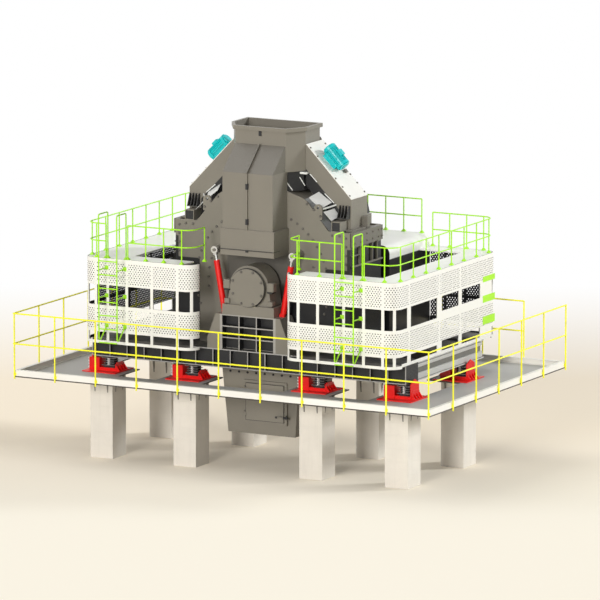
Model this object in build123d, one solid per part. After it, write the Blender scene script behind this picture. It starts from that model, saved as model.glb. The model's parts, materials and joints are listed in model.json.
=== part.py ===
from build123d import *
import math
import os

os.makedirs("parts", exist_ok=True)

# Columns and caps
column_x = 3440
inner_column_x = 1471
front_row_y = -1610
back_row_y = 910
column_width = 527
column_depth = 568
cap_thickness = 20
cap_overhang = 55
gusset_height = 378
gusset_thickness = 24
gusset_spread = 150

# Walkway
deck_length = 9600
deck_width = 6222
deck_top = 1814
deck_thickness = 24
well_length = 7400
well_width = 4280
ledge_half = 535
channel_height = 126
channel_flange = 75
channel_steel = 10
rail_height = 1202
mid_rail_height = 552
rail_tube = 42
rail_foot = 60
front_bays = 10
side_bays = 6

# Vibration isolators
seat_half = 395
seat_plate = 22
stop_block_width = 240
stop_block_depth = 400
stop_block_gap = 50
pad_half = 180
pad_height = 60
pad_x = 90
seat_wall = 20
seat_wall_height = 150
end_stop_gap = 50
end_stop_height = 90
spring_foot_half = 138
spring_foot_height = 40
spring_half = 105
spring_corner = 0.3
spring_head_half = 150
spring_head_height = 50

# Base frame
frame_length = 7300
frame_front = -1887
frame_back = 1646
frame_bottom = 2150
frame_top = 2540
girder_width = 546
girder_recess = 90
girder_spaces = 18
frame_flange = 22
frame_web = 18
end_beam_width = 200
end_beam_recess = 80
inner_beam_inset = 200

# Crusher body
body_centre_y = -550
body_half_width = 690
body_half_length = 2030
body_shoulder_top = 5050
body_shoulder_x = 1530
body_crown_top = 5830
body_crown_half = 520
body_haunch_x = 1000
body_haunch_drop = 150
body_haunch_radius = 420
body_shoulder_radius = 120
side_plate = 40
end_wall = 50
end_band_height = 300
ledge_reach = 60
ledge_thickness = 30
lower_ledge_drop = 410
ear_x = 1290
ear_z = 5500
ear_radius = 95
ear_root = 220
ear_hole = 30
rotor_height = 3857
throat_half = 560

# Inlet chute
inlet_half_front = 584
inlet_half_length = 833
inlet_front_y = -1322
inlet_corner_y = -919
inlet_back_y = -290
inlet_bottom = 6215
inlet_top = 7040
inlet_wall = 16
flange_lip = 45
flange_height = 80

# Air ducts
duct_half_length = 580
duct_reach = 640
duct_knee = 6230
duct_neck = 6750
duct_bottom = 5058
hood_margin = 40
hood_front_margin = 20
hood_bottom = 4515
seam_width = 26
seam_height = 45

# Covers over the impact racks
cover_half_width = 355
cover_end_x = 1884
cover_end_top = 5685
cover_top = 6767
cover_depth = 590
cover_foot = 250
cover_sheet = 24
top_sheet_thickness = 14
motor_along = 560
motor_radius = 120
motor_length = 480
motor_flange_radius = 145
motor_flange = 60
motor_base = 50
bracket_reach = 160
bracket_bottom = 5300
bracket_height = 260
bracket_rib = 16
bracket_ribs = 4
spring_tube_x = 1600
spring_tube_size = 210
spring_tube_wall = 15

# Rotor bearings and their stands
stand_setback = 7
stand_recess = 180
stand_half_top = 745
stand_half_bottom = 943
stand_foot_height = 220
stand_columns = 3
stand_rows = 3
grille_half = 617
stand_rib = 24
bearing_seat = 3270
bearing_setback = 20
bearing_foot_height = 210
bearing_foot_half = 600
bearing_radius = 450
bearing_waist = 60
bearing_cover_radius = 392
bearing_cover_proud = 40
bearing_ring_setback = 60
bearing_neck_radius = 330

# Hydraulic cylinders
cylinder_eye_x = 905
cylinder_eye_z = 4545
cylinder_foot_x = 690
cylinder_set_in = 278
cylinder_foot_height = 70
barrel_diameter = 125
rod_diameter = 70
rod_length = 220
shank_length = 30
eye_radius = 75
eye_thickness = 80
pin_radius = 32
pin_end = 24

# Discharge chute and inspection door
chute_margin = 90
chute_half_top = 900
chute_half_bottom = 783
chute_taper_depth = 60
chute_bottom = 700
chute_wall = 20
chute_flange = 70
chute_flange_thickness = 24
door_left = -320
door_right = 570
door_bottom = 1000
door_top = 1780
door_thickness = 30
door_lap = 60
rim_border = 55
rim_depth = 20
hinge_setback = 20
hinge_pin_radius = 12
hinge_knuckle_radius = 24
hinge_knuckle_half = 36
hinge_play = 1
lug_gap = 2
hinge_inset = 130
latch_radius = 24
latch_reach = 40
latch_length = 200
latch_bar = 28

# Guards around both ends
guard_inner_x = 1040
guard_end_inset = 10
guard_front_y = -2300
guard_back_y = 2300
guard_top = 4292
guard_sheet = 30
guard_corner = 270
window_top = 3735
window_bottom = 3310
low_window_top = 2752
end_window_lift = 115
guard_rim = 60
post_width = 62
floor_sheet = 30
right_posts = (1392, 1840, 2436, 2893, 3330)
left_posts = (-3330, -3051, -2603, -2014, -1416)
end_posts = ((-1790, -1651), (-465, -262), (512, 646), (1494, 2030))
roof_sheet = 30
roof_front_strip = 490
right_roof_strip = 550
left_roof_strip = 910

# Roof rails and ladders
roof_rail_height = 730
roof_mid_rail = 350
roof_rail_tube = 38
roof_rail_inset = 30
bend_mitres = 3
roof_end_bays = 7
roof_front_pitch = 445
ladder_centres = (2620, -2860)
ladder_width = 434
ladder_tube = 34
ladder_standoff = 330
ladder_rise = 250
ladder_foot = 2560
rung_pitch = 290

# Drive hood at the back of the body
drive_hood_half = 2080
drive_hood_top = 4550
drive_hood_radius = 180
drive_hood_gap = 280
drive_bay_half = 1100
drive_bay_margin = 95

clearance = 0.3

body_front = body_centre_y - body_half_width
body_back = body_centre_y + body_half_width
girder_back = frame_front + girder_width
inner_x = frame_length / 2 - end_beam_width
guard_outer_x = frame_length / 2 - guard_end_inset
chute_half_depth = body_half_width + chute_margin
rim_face = body_centre_y - chute_half_depth - rim_depth
hinge_levels = (door_bottom + hinge_inset, door_top - hinge_inset)
floor_bottom = frame_top - floor_sheet


def block(x0, x1, y0, y1, z0, z1):
    """A box between two corners."""
    middle = Pos((x0 + x1) / 2, (y0 + y1) / 2, (z0 + z1) / 2)
    return middle * Box(x1 - x0, y1 - y0, z1 - z0)


def plate_y(outline, y0, y1):
    """An outline in X and Z, thickened from y0 to y1."""
    face = make_face(Plane.XZ * Polyline(*outline, close=True))
    return Pos(0, y1, 0) * extrude(face, y1 - y0, dir=(0, -1, 0))


def plate_x(outline, x0, x1):
    """An outline in Y and Z, thickened from x0 to x1."""
    face = make_face(Plane.YZ * Polyline(*outline, close=True))
    return Pos(x0, 0, 0) * extrude(face, x1 - x0, dir=(1, 0, 0))


def plate_z(outline, z0, z1):
    """An outline in X and Y, thickened from z0 to z1."""
    face = make_face(Plane.XY * Polyline(*outline, close=True))
    return Pos(0, 0, z0) * extrude(face, z1 - z0, dir=(0, 0, 1))


def drum_y(radius, x, z, y0, y1):
    """A round piece along Y."""
    return Pos(x, (y0 + y1) / 2, z) * Rot(90, 0, 0) * Cylinder(radius, y1 - y0)


def drum_z(radius, x, y, z0, z1):
    """A round piece along Z."""
    return Pos(x, y, (z0 + z1) / 2) * Cylinder(radius, z1 - z0)


def other_end(shape):
    """The same piece at the opposite end."""
    return mirror(shape, about=Plane.YZ)


def other_face(shape):
    """The same piece on the far face of the crusher body."""
    return mirror(shape, about=Plane.XZ.offset(-body_centre_y))


def mirrored_outline(half):
    """A closed outline from its right half, listed from one middle end to the other."""
    return half + [(-x, z) for x, z in reversed(half) if x]


def save(name, *shapes):
    """Writes one piece, made of one or more solids."""
    solids = [solid for shape in shapes for solid in shape.solids()]
    export_step(Compound(children=solids), f"parts/{name}.step")


def column_spots():
    """The eight places in plan where a column carries an isolator."""
    rows = (front_row_y, back_row_y)
    lines = (-column_x, -inner_column_x, inner_column_x, column_x)
    return [(x, y) for y in rows for x in lines]


# Columns and the welded caps that carry the walkway
def support_column(x, y):
    cap_bottom = deck_top - deck_thickness - cap_thickness
    return block(x - column_width / 2, x + column_width / 2, y - column_depth / 2,
                 y + column_depth / 2, 0, cap_bottom)


def gusset_web(face, outward, top):
    """Tapered gusset from a column face to the edge of its cap."""
    tip = face + outward * cap_overhang
    return [(face, top), (tip, top), (tip, top - gusset_thickness), (face, top - gusset_height)]


def column_cap(x, y):
    top = deck_top - deck_thickness
    bottom = top - cap_thickness
    half_x = column_width / 2
    half_y = column_depth / 2
    half = gusset_thickness / 2
    cap = block(x - half_x - cap_overhang, x + half_x + cap_overhang,
                y - half_y - cap_overhang, y + half_y + cap_overhang, bottom, top)
    for side in (-1, 1):
        for middle in (x - gusset_spread, x + gusset_spread):
            cap += plate_x(gusset_web(y + side * half_y, side, bottom), middle - half, middle + half)
        for middle in (y - gusset_spread, y + gusset_spread):
            cap += plate_y(gusset_web(x + side * half_x, side, bottom), middle - half, middle + half)
    return cap


def walkway_deck():
    bottom = deck_top - deck_thickness
    half_well = well_width / 2
    deck = block(-deck_length / 2, deck_length / 2, -deck_width / 2, deck_width / 2, bottom,
                 deck_top)
    deck -= block(-well_length / 2, well_length / 2, -half_well, half_well, bottom, deck_top)
    for x, y in column_spots():
        outer = math.copysign(half_well, y)
        inner = y - math.copysign(seat_half, y)
        deck += block(x - ledge_half, x + ledge_half, min(outer, inner), max(outer, inner), bottom,
                      deck_top)
    return deck


def edge_channel():
    """Channel on edge round the deck, web outside and flanges inward."""
    def ring(inset, z0, z1):
        half_x = deck_length / 2 - inset
        half_y = deck_width / 2 - inset
        return block(-half_x, half_x, -half_y, half_y, z0, z1)

    top = deck_top + channel_height
    channel = ring(0, deck_top, top) - ring(channel_flange, deck_top, top)
    return channel - ring(channel_steel, deck_top + channel_steel, top - channel_steel)


# Handrails of the walkway, posts outside the edge channel
def handrail(length, bays, last_bay, corner_posts):
    """A run of railing along X; without corner posts its rails stop at the corner."""
    pitch = length / bays
    top = deck_top + channel_height + rail_height
    middle = deck_top + channel_height + mid_rail_height
    half = rail_tube / 2
    reach = half if corner_posts else 0
    start = -length / 2 - reach
    end = -length / 2 + last_bay * pitch + reach
    rail = block(start, end, -half, half, top - rail_tube, top)
    rail += block(start, end, -half, half, middle - half, middle + half)
    skip = 0 if corner_posts else 1
    for number in range(skip, last_bay + 1 - skip):
        at = -length / 2 + number * pitch
        rail += block(at - half, at + half, -half, half, deck_top - rail_foot, top)
    return rail


# Vibration isolators between walkway and base frame
def isolator_seat(x, y):
    bottom = deck_top + seat_plate
    seat = block(x - seat_half, x + seat_half, y - seat_half, y + seat_half, deck_top, bottom)
    left = x + pad_x - pad_half - stop_block_width
    seat += block(left, left + stop_block_width, y - stop_block_depth / 2,
                  y + stop_block_depth / 2, bottom, frame_bottom - stop_block_gap)
    seat += block(x + pad_x - pad_half, x + pad_x + pad_half, y - pad_half, y + pad_half, bottom,
                  bottom + pad_height)
    right = x + pad_x + pad_half
    seat += block(right, right + seat_wall, y - pad_half, y + pad_half, bottom,
                  bottom + seat_wall_height)
    if abs(x) == column_x:
        near = frame_length / 2 + end_stop_gap
        far = near + seat_wall
        low = frame_bottom
        stop = [(y - pad_half, bottom), (y + pad_half, bottom), (y + pad_half, low),
                (y, low + end_stop_height), (y - pad_half, low)]
        side = math.copysign(1, x)
        seat += plate_x(stop, min(side * near, side * far), max(side * near, side * far))
    return seat


def isolator_spring(x, y):
    """Rubber spring pack between two steel plates, its upright corners cut off."""
    bottom = deck_top + seat_plate + pad_height
    middle = x + pad_x
    waist = bottom + spring_foot_height
    head = frame_bottom - spring_head_height

    def layer(half, z0, z1):
        slab = block(middle - half, middle + half, y - half, y + half, z0, z1)
        return chamfer(slab.edges().filter_by(Axis.Z), half * spring_corner)

    return (layer(spring_foot_half, bottom, waist) + layer(spring_half, waist, head)
            + layer(spring_head_half, head, frame_bottom))


# Base frame
def girder(front, back, half_length):
    """Box girder with set-back webs, flanges and stiffeners."""
    low = frame_bottom + frame_flange
    high = frame_top - frame_flange
    beam = block(-half_length, half_length, front, back, frame_bottom, frame_top)
    half = frame_web / 2
    pitch = 2 * (half_length - half) / girder_spaces
    for edge in (front, back - girder_recess):
        beam -= block(-half_length, half_length, edge, edge + girder_recess, low, high)
        for number in range(girder_spaces + 1):
            at = -half_length + half + number * pitch
            beam += block(at - half, at + half, edge, edge + girder_recess, low, high)
    return beam


def beam_section(front, back):
    """Rolled beam along X between the end beams."""
    beam = block(-inner_x, inner_x, front, back, frame_bottom, frame_top)
    hollow = (back - front - frame_web) / 2
    for edge in (front, back - hollow):
        beam -= block(-inner_x, inner_x, edge, edge + hollow, frame_bottom + frame_flange,
                      frame_top - frame_flange)
    return beam


def end_beam():
    low = frame_bottom + frame_flange
    high = frame_top - frame_flange
    outer = frame_length / 2
    web = outer - end_beam_recess
    beam = block(inner_x, outer, girder_back, frame_back, frame_bottom, frame_top)
    beam -= block(web, outer, girder_back, frame_back, low, high)
    return beam - block(inner_x, web - frame_web, girder_back, frame_back, low, high)


# Discharge chute with its inspection door
def chute_outline(inset, z):
    share = (z - chute_bottom) / (frame_bottom - chute_bottom)
    half_x = chute_half_bottom + share * (chute_half_top - chute_half_bottom) - inset
    half_y = chute_half_depth - chute_taper_depth * (1 - share) - inset
    return Pos(0, body_centre_y, z) * Rectangle(2 * half_x, 2 * half_y)


def chute_plate(inset, z0, z1):
    half_x = chute_half_top - inset
    half_y = chute_half_depth - inset
    return block(-half_x, half_x, body_centre_y - half_y, body_centre_y + half_y, z0, z1)


def discharge_chute():
    outer = loft([chute_outline(0, chute_bottom), chute_outline(0, frame_bottom)])
    inner = loft([chute_outline(chute_wall, chute_bottom), chute_outline(chute_wall, frame_bottom)])
    low = frame_bottom - chute_flange_thickness
    chute = outer + chute_plate(-chute_flange, low, frame_bottom)
    front = body_centre_y - chute_half_depth
    chute += block(door_left - rim_border, door_right + rim_border, rim_face,
                   front + chute_taper_depth, door_bottom - rim_border, door_top + rim_border)
    chute -= inner
    chute -= block(door_left + door_lap, door_right - door_lap, rim_face, body_centre_y,
                   door_bottom + door_lap, door_top - door_lap)
    for lug in hinge_pins():
        chute += lug
    return chute


def hinge_line():
    """Plan position of the door's hinge line."""
    return door_left - hinge_setback, rim_face - door_thickness


def hinge_pins():
    """Pins between two lugs each, welded to the door rim."""
    x, y = hinge_line()
    result = []
    for level in hinge_levels:
        for side in (-1, 1):
            near = level + side * (hinge_knuckle_half + lug_gap)
            far = near + side * hinge_setback
            cover = hinge_pin_radius + lug_gap
            result.append(block(x - hinge_knuckle_radius, x + cover, y - cover, rim_face,
                                min(near, far), max(near, far)))
        reach = hinge_knuckle_half + lug_gap + hinge_setback / 2
        result.append(drum_z(hinge_pin_radius, x, y, level - reach, level + reach))
    return result


def chute_door():
    x, y = hinge_line()
    back = rim_face - clearance
    front = back - door_thickness
    door = block(door_left, door_right, front, back, door_bottom, door_top)
    for level in hinge_levels:
        low = level - hinge_knuckle_half
        high = level + hinge_knuckle_half
        door += drum_z(hinge_knuckle_radius, x, y, low, high)
        door += block(x, door_left + hinge_setback, y - hinge_pin_radius, y + hinge_pin_radius, low,
                      high)
        door -= drum_z(hinge_pin_radius + hinge_play, x, y, low, high)
    latch_x = door_right - door_lap
    latch_z = door_bottom + 2 * door_lap
    tip = front - latch_reach
    door += drum_y(latch_radius, latch_x, latch_z, tip, front)
    return door + block(latch_x - latch_length / 2, latch_x + latch_length / 2, tip - latch_bar,
                        tip, latch_z - latch_bar / 2, latch_z + latch_bar / 2)


# Crusher body
def body_outline(lift, half_length):
    """Side plate outline: sloping crown, rounded haunches and level shoulders."""
    crown = body_crown_top + lift
    shoulder = body_shoulder_top + lift
    half = [(body_crown_half, crown), (body_haunch_x, crown - body_haunch_drop),
            (body_shoulder_x, shoulder), (half_length, shoulder), (half_length, frame_top)]
    return mirrored_outline(half)


def body_slab(lift, half_length, y0, y1):
    """The outline with its haunches and shoulders rounded, thickened from y0 to y1."""
    face = make_face(Polyline(*body_outline(lift, half_length), close=True))
    for at, radius in ((body_haunch_x, body_haunch_radius), (body_shoulder_x, body_shoulder_radius)):
        bends = [spot for spot in face.vertices() if abs(abs(spot.X) - at) < clearance]
        face = fillet(bends, radius)
    return Pos(0, y1, 0) * extrude(Plane.XZ * face, y1 - y0, dir=(0, -1, 0))


def body_core():
    return body_slab(-cover_sheet, body_half_length - end_wall, body_front + side_plate,
                     body_back - side_plate)


def body_side_plate():
    plate = body_slab(0, body_half_length, body_front, body_front + side_plate)
    for x in (-ear_x, ear_x):
        plate += drum_y(ear_radius, x, ear_z, body_front, body_front + side_plate)
        plate += block(x - ear_radius, x + ear_radius, body_front, body_front + side_plate,
                       ear_z - ear_root, ear_z)
        plate -= drum_y(ear_hole, x, ear_z + ear_radius / 4, body_front, body_front + side_plate)
    return plate


def body_end_wall():
    front = body_front + side_plate
    back = body_back - side_plate
    outer = body_half_length
    wall = block(outer - end_wall, outer, front, back, frame_top, body_shoulder_top)
    band = body_shoulder_top - end_band_height
    wall += block(outer, outer + ledge_reach, front, back, band, body_shoulder_top)
    lower = band - lower_ledge_drop
    return wall + block(outer, outer + ledge_reach, front, back, lower, lower + ledge_thickness)


def feed_throat():
    front = body_front + side_plate
    corner = inlet_corner_y
    back = inlet_back_y + inlet_wall
    half = [(throat_half, front), (inlet_half_length - hood_margin, corner),
            (inlet_half_length - hood_margin, back)]
    outline = half + [(-x, y) for x, y in reversed(half)]
    return plate_z(outline, body_crown_top - cover_sheet, inlet_bottom)


# Inlet chute
def inlet_plan(grow):
    """Plan of the inlet, grown outward by an even margin."""
    tilt = math.atan2(inlet_half_length - inlet_half_front, inlet_corner_y - inlet_front_y)
    turn = grow * math.tan((math.pi / 2 - tilt) / 2)
    side = grow * math.tan(tilt / 2)
    half = [(inlet_half_front + turn, inlet_front_y - grow),
            (inlet_half_length + grow, inlet_corner_y - side),
            (inlet_half_length + grow, inlet_back_y + grow)]
    return half + [(-x, y) for x, y in reversed(half)]


def inlet_chute():
    rim = inlet_top + flange_height
    chute = plate_z(inlet_plan(0), inlet_bottom, inlet_top)
    chute += plate_z(inlet_plan(flange_lip), inlet_top, rim)
    return chute - plate_z(inlet_plan(-inlet_wall), inlet_bottom, rim)


# Air ducts on the faces of the body
def duct_side(front, top):
    """Side view of a duct: level foot, upright face, sloping neck."""
    neck_y = inlet_front_y
    return [(front, duct_bottom), (front, duct_knee), (neck_y, duct_neck), (neck_y, top),
            (body_front, top), (body_front, duct_bottom)]


def air_duct():
    front = body_front - duct_reach
    duct = plate_x(duct_side(front, inlet_bottom), -duct_half_length, duct_half_length)
    half = hood_margin + duct_half_length
    duct += block(-half, half, front - hood_front_margin, body_front, hood_bottom, duct_bottom)
    seam = [(front - seam_height, duct_bottom), (front - seam_height, duct_knee + seam_height / 2),
            (inlet_front_y - seam_height, duct_neck + seam_height / 2), (inlet_front_y, duct_neck),
            (front, duct_knee), (front, duct_bottom)]
    return duct + plate_x(seam, -seam_width / 2, seam_width / 2)


# Covers over the impact racks
def slope_angle():
    """Slope of the cover's top, in degrees below level."""
    return math.degrees(math.atan2(cover_top - cover_end_top, cover_end_x - inlet_half_length))


def slope_place(along, lift):
    """A spot on the sloping top, measured from its upper edge."""
    turn = math.radians(slope_angle())
    x = inlet_half_length + along * math.cos(turn) + lift * math.sin(turn)
    z = cover_top - along * math.sin(turn) + lift * math.cos(turn)
    return Pos(x, body_centre_y, z) * Rot(0, slope_angle(), 0)


def rack_cover():
    """Hollow cover, open underneath, standing on the shoulder of the body."""
    turn = math.radians(slope_angle())
    drop = cover_depth / math.cos(turn)
    foot = cover_end_x - cover_foot
    knee = cover_top - drop - (foot - inlet_half_length) * math.tan(turn)
    outline = [(inlet_half_length, cover_top), (cover_end_x, cover_end_top),
               (cover_end_x, body_shoulder_top), (foot, body_shoulder_top), (foot, knee),
               (inlet_half_length, cover_top - drop)]
    front = body_centre_y - cover_half_width
    back = body_centre_y + cover_half_width
    lid = cover_sheet / math.cos(turn)
    inner = cover_end_x - cover_sheet
    hollow = [(inlet_half_length, cover_top - lid), (inner, cover_end_top - lid),
              (inner, body_shoulder_top), (inlet_half_length, body_shoulder_top)]
    cover = plate_y(outline, front, back)
    return cover - plate_y(hollow, front + cover_sheet, back - cover_sheet)


def top_sheet():
    run = math.hypot(cover_end_x - inlet_half_length, cover_top - cover_end_top)
    length = run - top_sheet_thickness
    sheet = Box(length, 2 * cover_half_width, top_sheet_thickness)
    return slope_place(length / 2 + top_sheet_thickness, top_sheet_thickness / 2) * sheet


def vibrator_motor():
    place = slope_place(motor_along, top_sheet_thickness + motor_base + motor_radius)
    motor = place * Rot(0, 90, 0) * Cylinder(motor_radius, motor_length)
    for end in (-1, 1):
        flange = Rot(0, 90, 0) * Cylinder(motor_flange_radius, motor_flange)
        motor += place * Pos(end * (motor_length - motor_flange) / 2, 0, 0) * flange
    base = Box(motor_length - 2 * motor_flange, 2 * motor_radius, motor_base + motor_radius / 2)
    return motor + place * Pos(0, 0, -(motor_radius * 1.5 + motor_base) / 2) * base


def rack_bracket():
    """Ribbed bracket on the face of a cover, above the spring tube."""
    front = body_centre_y - cover_half_width - bracket_reach
    back = body_centre_y - cover_half_width
    right = cover_end_x - cover_sheet
    left = cover_end_x - cover_foot
    bracket = block(left, right, front, back, bracket_bottom, bracket_bottom + bracket_rib)
    pitch = (right - left - bracket_rib) / (bracket_ribs - 1)
    for number in range(bracket_ribs):
        at = left + number * pitch
        rib = [(front, bracket_bottom + bracket_rib), (back, bracket_bottom + bracket_rib),
               (back, bracket_bottom + bracket_height),
               (back - bracket_reach / 3, bracket_bottom + bracket_height)]
        bracket += plate_x(rib, at, at + bracket_rib)
    return bracket


def spring_tube():
    back = body_centre_y - cover_half_width
    right = spring_tube_x + spring_tube_size
    top = body_shoulder_top + spring_tube_size
    wall = spring_tube_wall
    tube = block(spring_tube_x, right, body_front, back, body_shoulder_top, top)
    return tube - block(spring_tube_x + wall, right - wall, body_front, back,
                        body_shoulder_top + wall, top - wall)


# Rotor bearings on welded stands
def bearing_stand():
    """Box stand with an egg-crate of ribs in its face and tapering wings."""
    front = frame_front + stand_setback
    recess = front + stand_recess
    shoulder = frame_top + stand_foot_height
    core = mirrored_outline([(stand_half_top, bearing_seat), (stand_half_bottom, shoulder),
                             (stand_half_bottom, frame_top)])
    stand = plate_y(core, recess, girder_back)
    wing = [(grille_half, bearing_seat), (stand_half_top, bearing_seat),
            (stand_half_bottom, shoulder), (stand_half_bottom, frame_top), (grille_half, frame_top)]
    plate = plate_y(wing, front, recess)
    stand += plate + other_end(plate)
    pitch = (2 * grille_half - stand_rib) / stand_columns
    for number in range(stand_columns + 1):
        at = -grille_half + number * pitch
        stand += block(at, at + stand_rib, front, recess, frame_top, bearing_seat)
    rise = (bearing_seat - frame_top - stand_rib) / stand_rows
    for number in range(1, stand_rows + 1):
        level = frame_top + number * rise
        stand += block(-grille_half, grille_half, front, recess, level, level + stand_rib)
    return stand


def bearing_housing():
    front = frame_front + bearing_setback
    foot_top = bearing_seat + bearing_foot_height
    ring = front + bearing_ring_setback
    housing = block(-bearing_foot_half, bearing_foot_half, front, girder_back, bearing_seat,
                    foot_top)
    saddle = mirrored_outline([(bearing_radius, rotor_height),
                               (bearing_radius + bearing_waist, foot_top)])
    housing += plate_y(saddle, ring, girder_back)
    housing += drum_y(bearing_radius, 0, rotor_height, ring, girder_back)
    housing += drum_y(bearing_cover_radius, 0, rotor_height, front - bearing_cover_proud, ring)
    return housing + drum_y(bearing_neck_radius, 0, rotor_height, girder_back, body_front)


# Hydraulic cylinders beside the bearings
def cylinder_y():
    return frame_front + cylinder_set_in


def cylinder_frame():
    """Length between pivots and lean from upright, in degrees."""
    run = cylinder_eye_x - cylinder_foot_x
    rise = cylinder_eye_z - bearing_seat - cylinder_foot_height
    return math.hypot(run, rise), math.degrees(math.atan2(run, rise))


def cylinder_spot(along):
    length, lean = cylinder_frame()
    foot = Pos(cylinder_foot_x, cylinder_y(), bearing_seat + cylinder_foot_height)
    return foot * Rot(0, lean, 0) * Pos(0, 0, along)


def cylinder_barrel():
    length, lean = cylinder_frame()
    high = length - rod_length
    barrel = cylinder_spot(high / 2) * Cylinder(barrel_diameter / 2, high)
    lug = block(cylinder_foot_x - eye_radius, cylinder_foot_x + eye_radius / 2,
                cylinder_y() - eye_thickness / 2, cylinder_y() + eye_thickness / 2, bearing_seat,
                bearing_seat + cylinder_foot_height)
    return barrel + lug


def cylinder_rod():
    length, lean = cylinder_frame()
    low = length - rod_length
    neck = length - eye_radius - shank_length
    rod = cylinder_spot((low + neck) / 2) * Cylinder(rod_diameter / 2, neck - low)
    rod += cylinder_spot((neck + length) / 2) * Box(rod_diameter, eye_thickness, length - neck)
    front = cylinder_y() - eye_thickness / 2
    rod += drum_y(eye_radius, cylinder_eye_x, cylinder_eye_z, front, front + eye_thickness)
    return rod - drum_y(pin_radius, cylinder_eye_x, cylinder_eye_z, front, front + eye_thickness)


def cylinder_pin():
    """Pin through the eye on a boss that stands out from the side plate."""
    front = cylinder_y() - eye_thickness / 2
    back = front + eye_thickness
    pin = drum_y(pin_radius - clearance, cylinder_eye_x, cylinder_eye_z, front - pin_end, back)
    return pin + drum_y(eye_radius, cylinder_eye_x, cylinder_eye_z, back, body_front)


# Guards: sheet with window strips
def guard_corner_piece(x, y, turn_x, turn_y):
    """Rounded corner in plan; the turns point away from the guarded room."""
    height = guard_top - floor_bottom
    ring = Cylinder(guard_corner, height) - Cylinder(guard_corner - guard_sheet, height)
    keep = Pos(turn_x * guard_corner / 2, turn_y * guard_corner / 2, 0)
    quarter = ring & (keep * Box(guard_corner, guard_corner, height))
    return Pos(x, y, (guard_top + floor_bottom) / 2) * quarter


def long_guard(y, posts, start, inner_corner):
    """Front or back run of the right end, from start to the rounded outer corner."""
    outward = math.copysign(1, y)
    inner = y - outward * guard_sheet
    centre = y - outward * guard_corner
    low = min(y, centre)
    high = max(y, centre)
    corners = [(guard_outer_x - guard_corner, 1)]
    if inner_corner:
        start += guard_corner
        corners.append((start, -1))
    run = block(start, guard_outer_x - guard_corner, min(y, inner), max(y, inner), floor_bottom,
                guard_top)
    for x, turn_x in corners:
        run += guard_corner_piece(x, centre, turn_x, outward)
    bands = run
    for bottom, top in ((window_bottom, window_top), (floor_bottom + guard_rim, low_window_top)):
        bands -= block(start - guard_corner, guard_outer_x, low, high, bottom, top)
    for at in posts:
        bands += run & block(at - post_width / 2, at + post_width / 2, low, high, floor_bottom,
                             guard_top)
    for x, turn_x in corners:
        bands += run & (Pos(x, centre, (floor_bottom + guard_top) / 2)
                        * Rot(0, 0, turn_x * outward * 45)
                        * Pos(turn_x * guard_corner, 0, 0)
                        * Box(2 * guard_sheet, post_width, guard_top - floor_bottom))
    return bands


def back_guard():
    """Back run of the right end, which meets the side of the drive hood."""
    start = drive_hood_half + clearance
    posts = [start + post_width / 2] + [at for at in right_posts if at > start + post_width]
    return long_guard(guard_back_y, posts, start, False)


def end_guard():
    """End run with three wide windows and a plain panel at the back."""
    y0 = guard_front_y + guard_corner
    y1 = guard_back_y - guard_corner
    inner = guard_outer_x - guard_sheet
    run = block(inner, guard_outer_x, y0, y1, frame_top, guard_top)
    start = y0
    for number, (low, high) in enumerate(end_posts):
        lift = end_window_lift if number > 1 else 0
        run -= block(inner, guard_outer_x, start, low, window_bottom + lift, window_top)
        run -= block(inner, guard_outer_x, start, low, frame_top + guard_rim, low_window_top + lift)
        start = high
    return run


def roof_deck(end_strip):
    """Roof sheet round the open room, rounded at the outer corners."""
    z0 = guard_top - roof_sheet
    outer = guard_outer_x - guard_sheet
    front = guard_front_y + guard_sheet
    back = guard_back_y - guard_sheet
    start = guard_inner_x + guard_corner
    outline = Pos(start, front) * Rectangle(outer - start, back - front, align=(Align.MIN, Align.MIN))
    corners = outline.vertices().group_by(Axis.X)[-1]
    outline = fillet(corners, guard_corner - guard_sheet)
    deck = Pos(0, 0, z0) * extrude(outline, roof_sheet)
    room = block(start, outer - end_strip, front + roof_front_strip, back, z0, guard_top)
    bridge = block(drive_hood_half + clearance, outer - end_strip, back - roof_front_strip, back,
                   z0, guard_top)
    return deck - room + bridge


def guard_floor(panel_y, frame_y):
    """Plate between the base frame and a long guard."""
    inner = panel_y - math.copysign(guard_sheet, panel_y)
    return block(guard_inner_x + guard_corner, guard_outer_x - guard_corner, min(inner, frame_y),
                 max(inner, frame_y), floor_bottom, frame_top)


# Roof rails
def rail_lines():
    """Centre lines of the roof rails: front, end and back."""
    inset = guard_sheet + roof_rail_inset
    return guard_front_y + inset, guard_outer_x - inset, guard_back_y - inset


def bent_bar(x0, y, turn, level):
    """Rail along X that ends in a quarter bend towards the end guard, mitred in equal turns."""
    half = roof_rail_tube / 2
    radius = guard_corner - guard_sheet
    centre_x = rail_lines()[1] - radius
    centre_y = y - turn * radius
    turns = [number * math.pi / 2 / bend_mitres for number in range(bend_mitres + 1)]

    def edge(reach):
        spots = [(centre_x + reach * math.sin(angle), centre_y + turn * reach * math.cos(angle))
                 for angle in turns]
        return [(x0, y + turn * (reach - radius))] + spots

    outline = edge(radius + half) + edge(radius - half)[::-1]
    return plate_z(outline, level - half, level + half)


def rail_levels():
    half = roof_rail_tube / 2
    return guard_top + roof_mid_rail, guard_top + roof_rail_height - half


def upright(x, y, bottom, top):
    half = roof_rail_tube / 2
    return block(x - half, x + half, y - half, y + half, bottom, top)


def spread(low, high, pitch):
    """Evenly spaced places from low to high, about one pitch apart."""
    count = max(1, round((high - low) / pitch))
    return [low + number * (high - low) / count for number in range(count + 1)]


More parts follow.
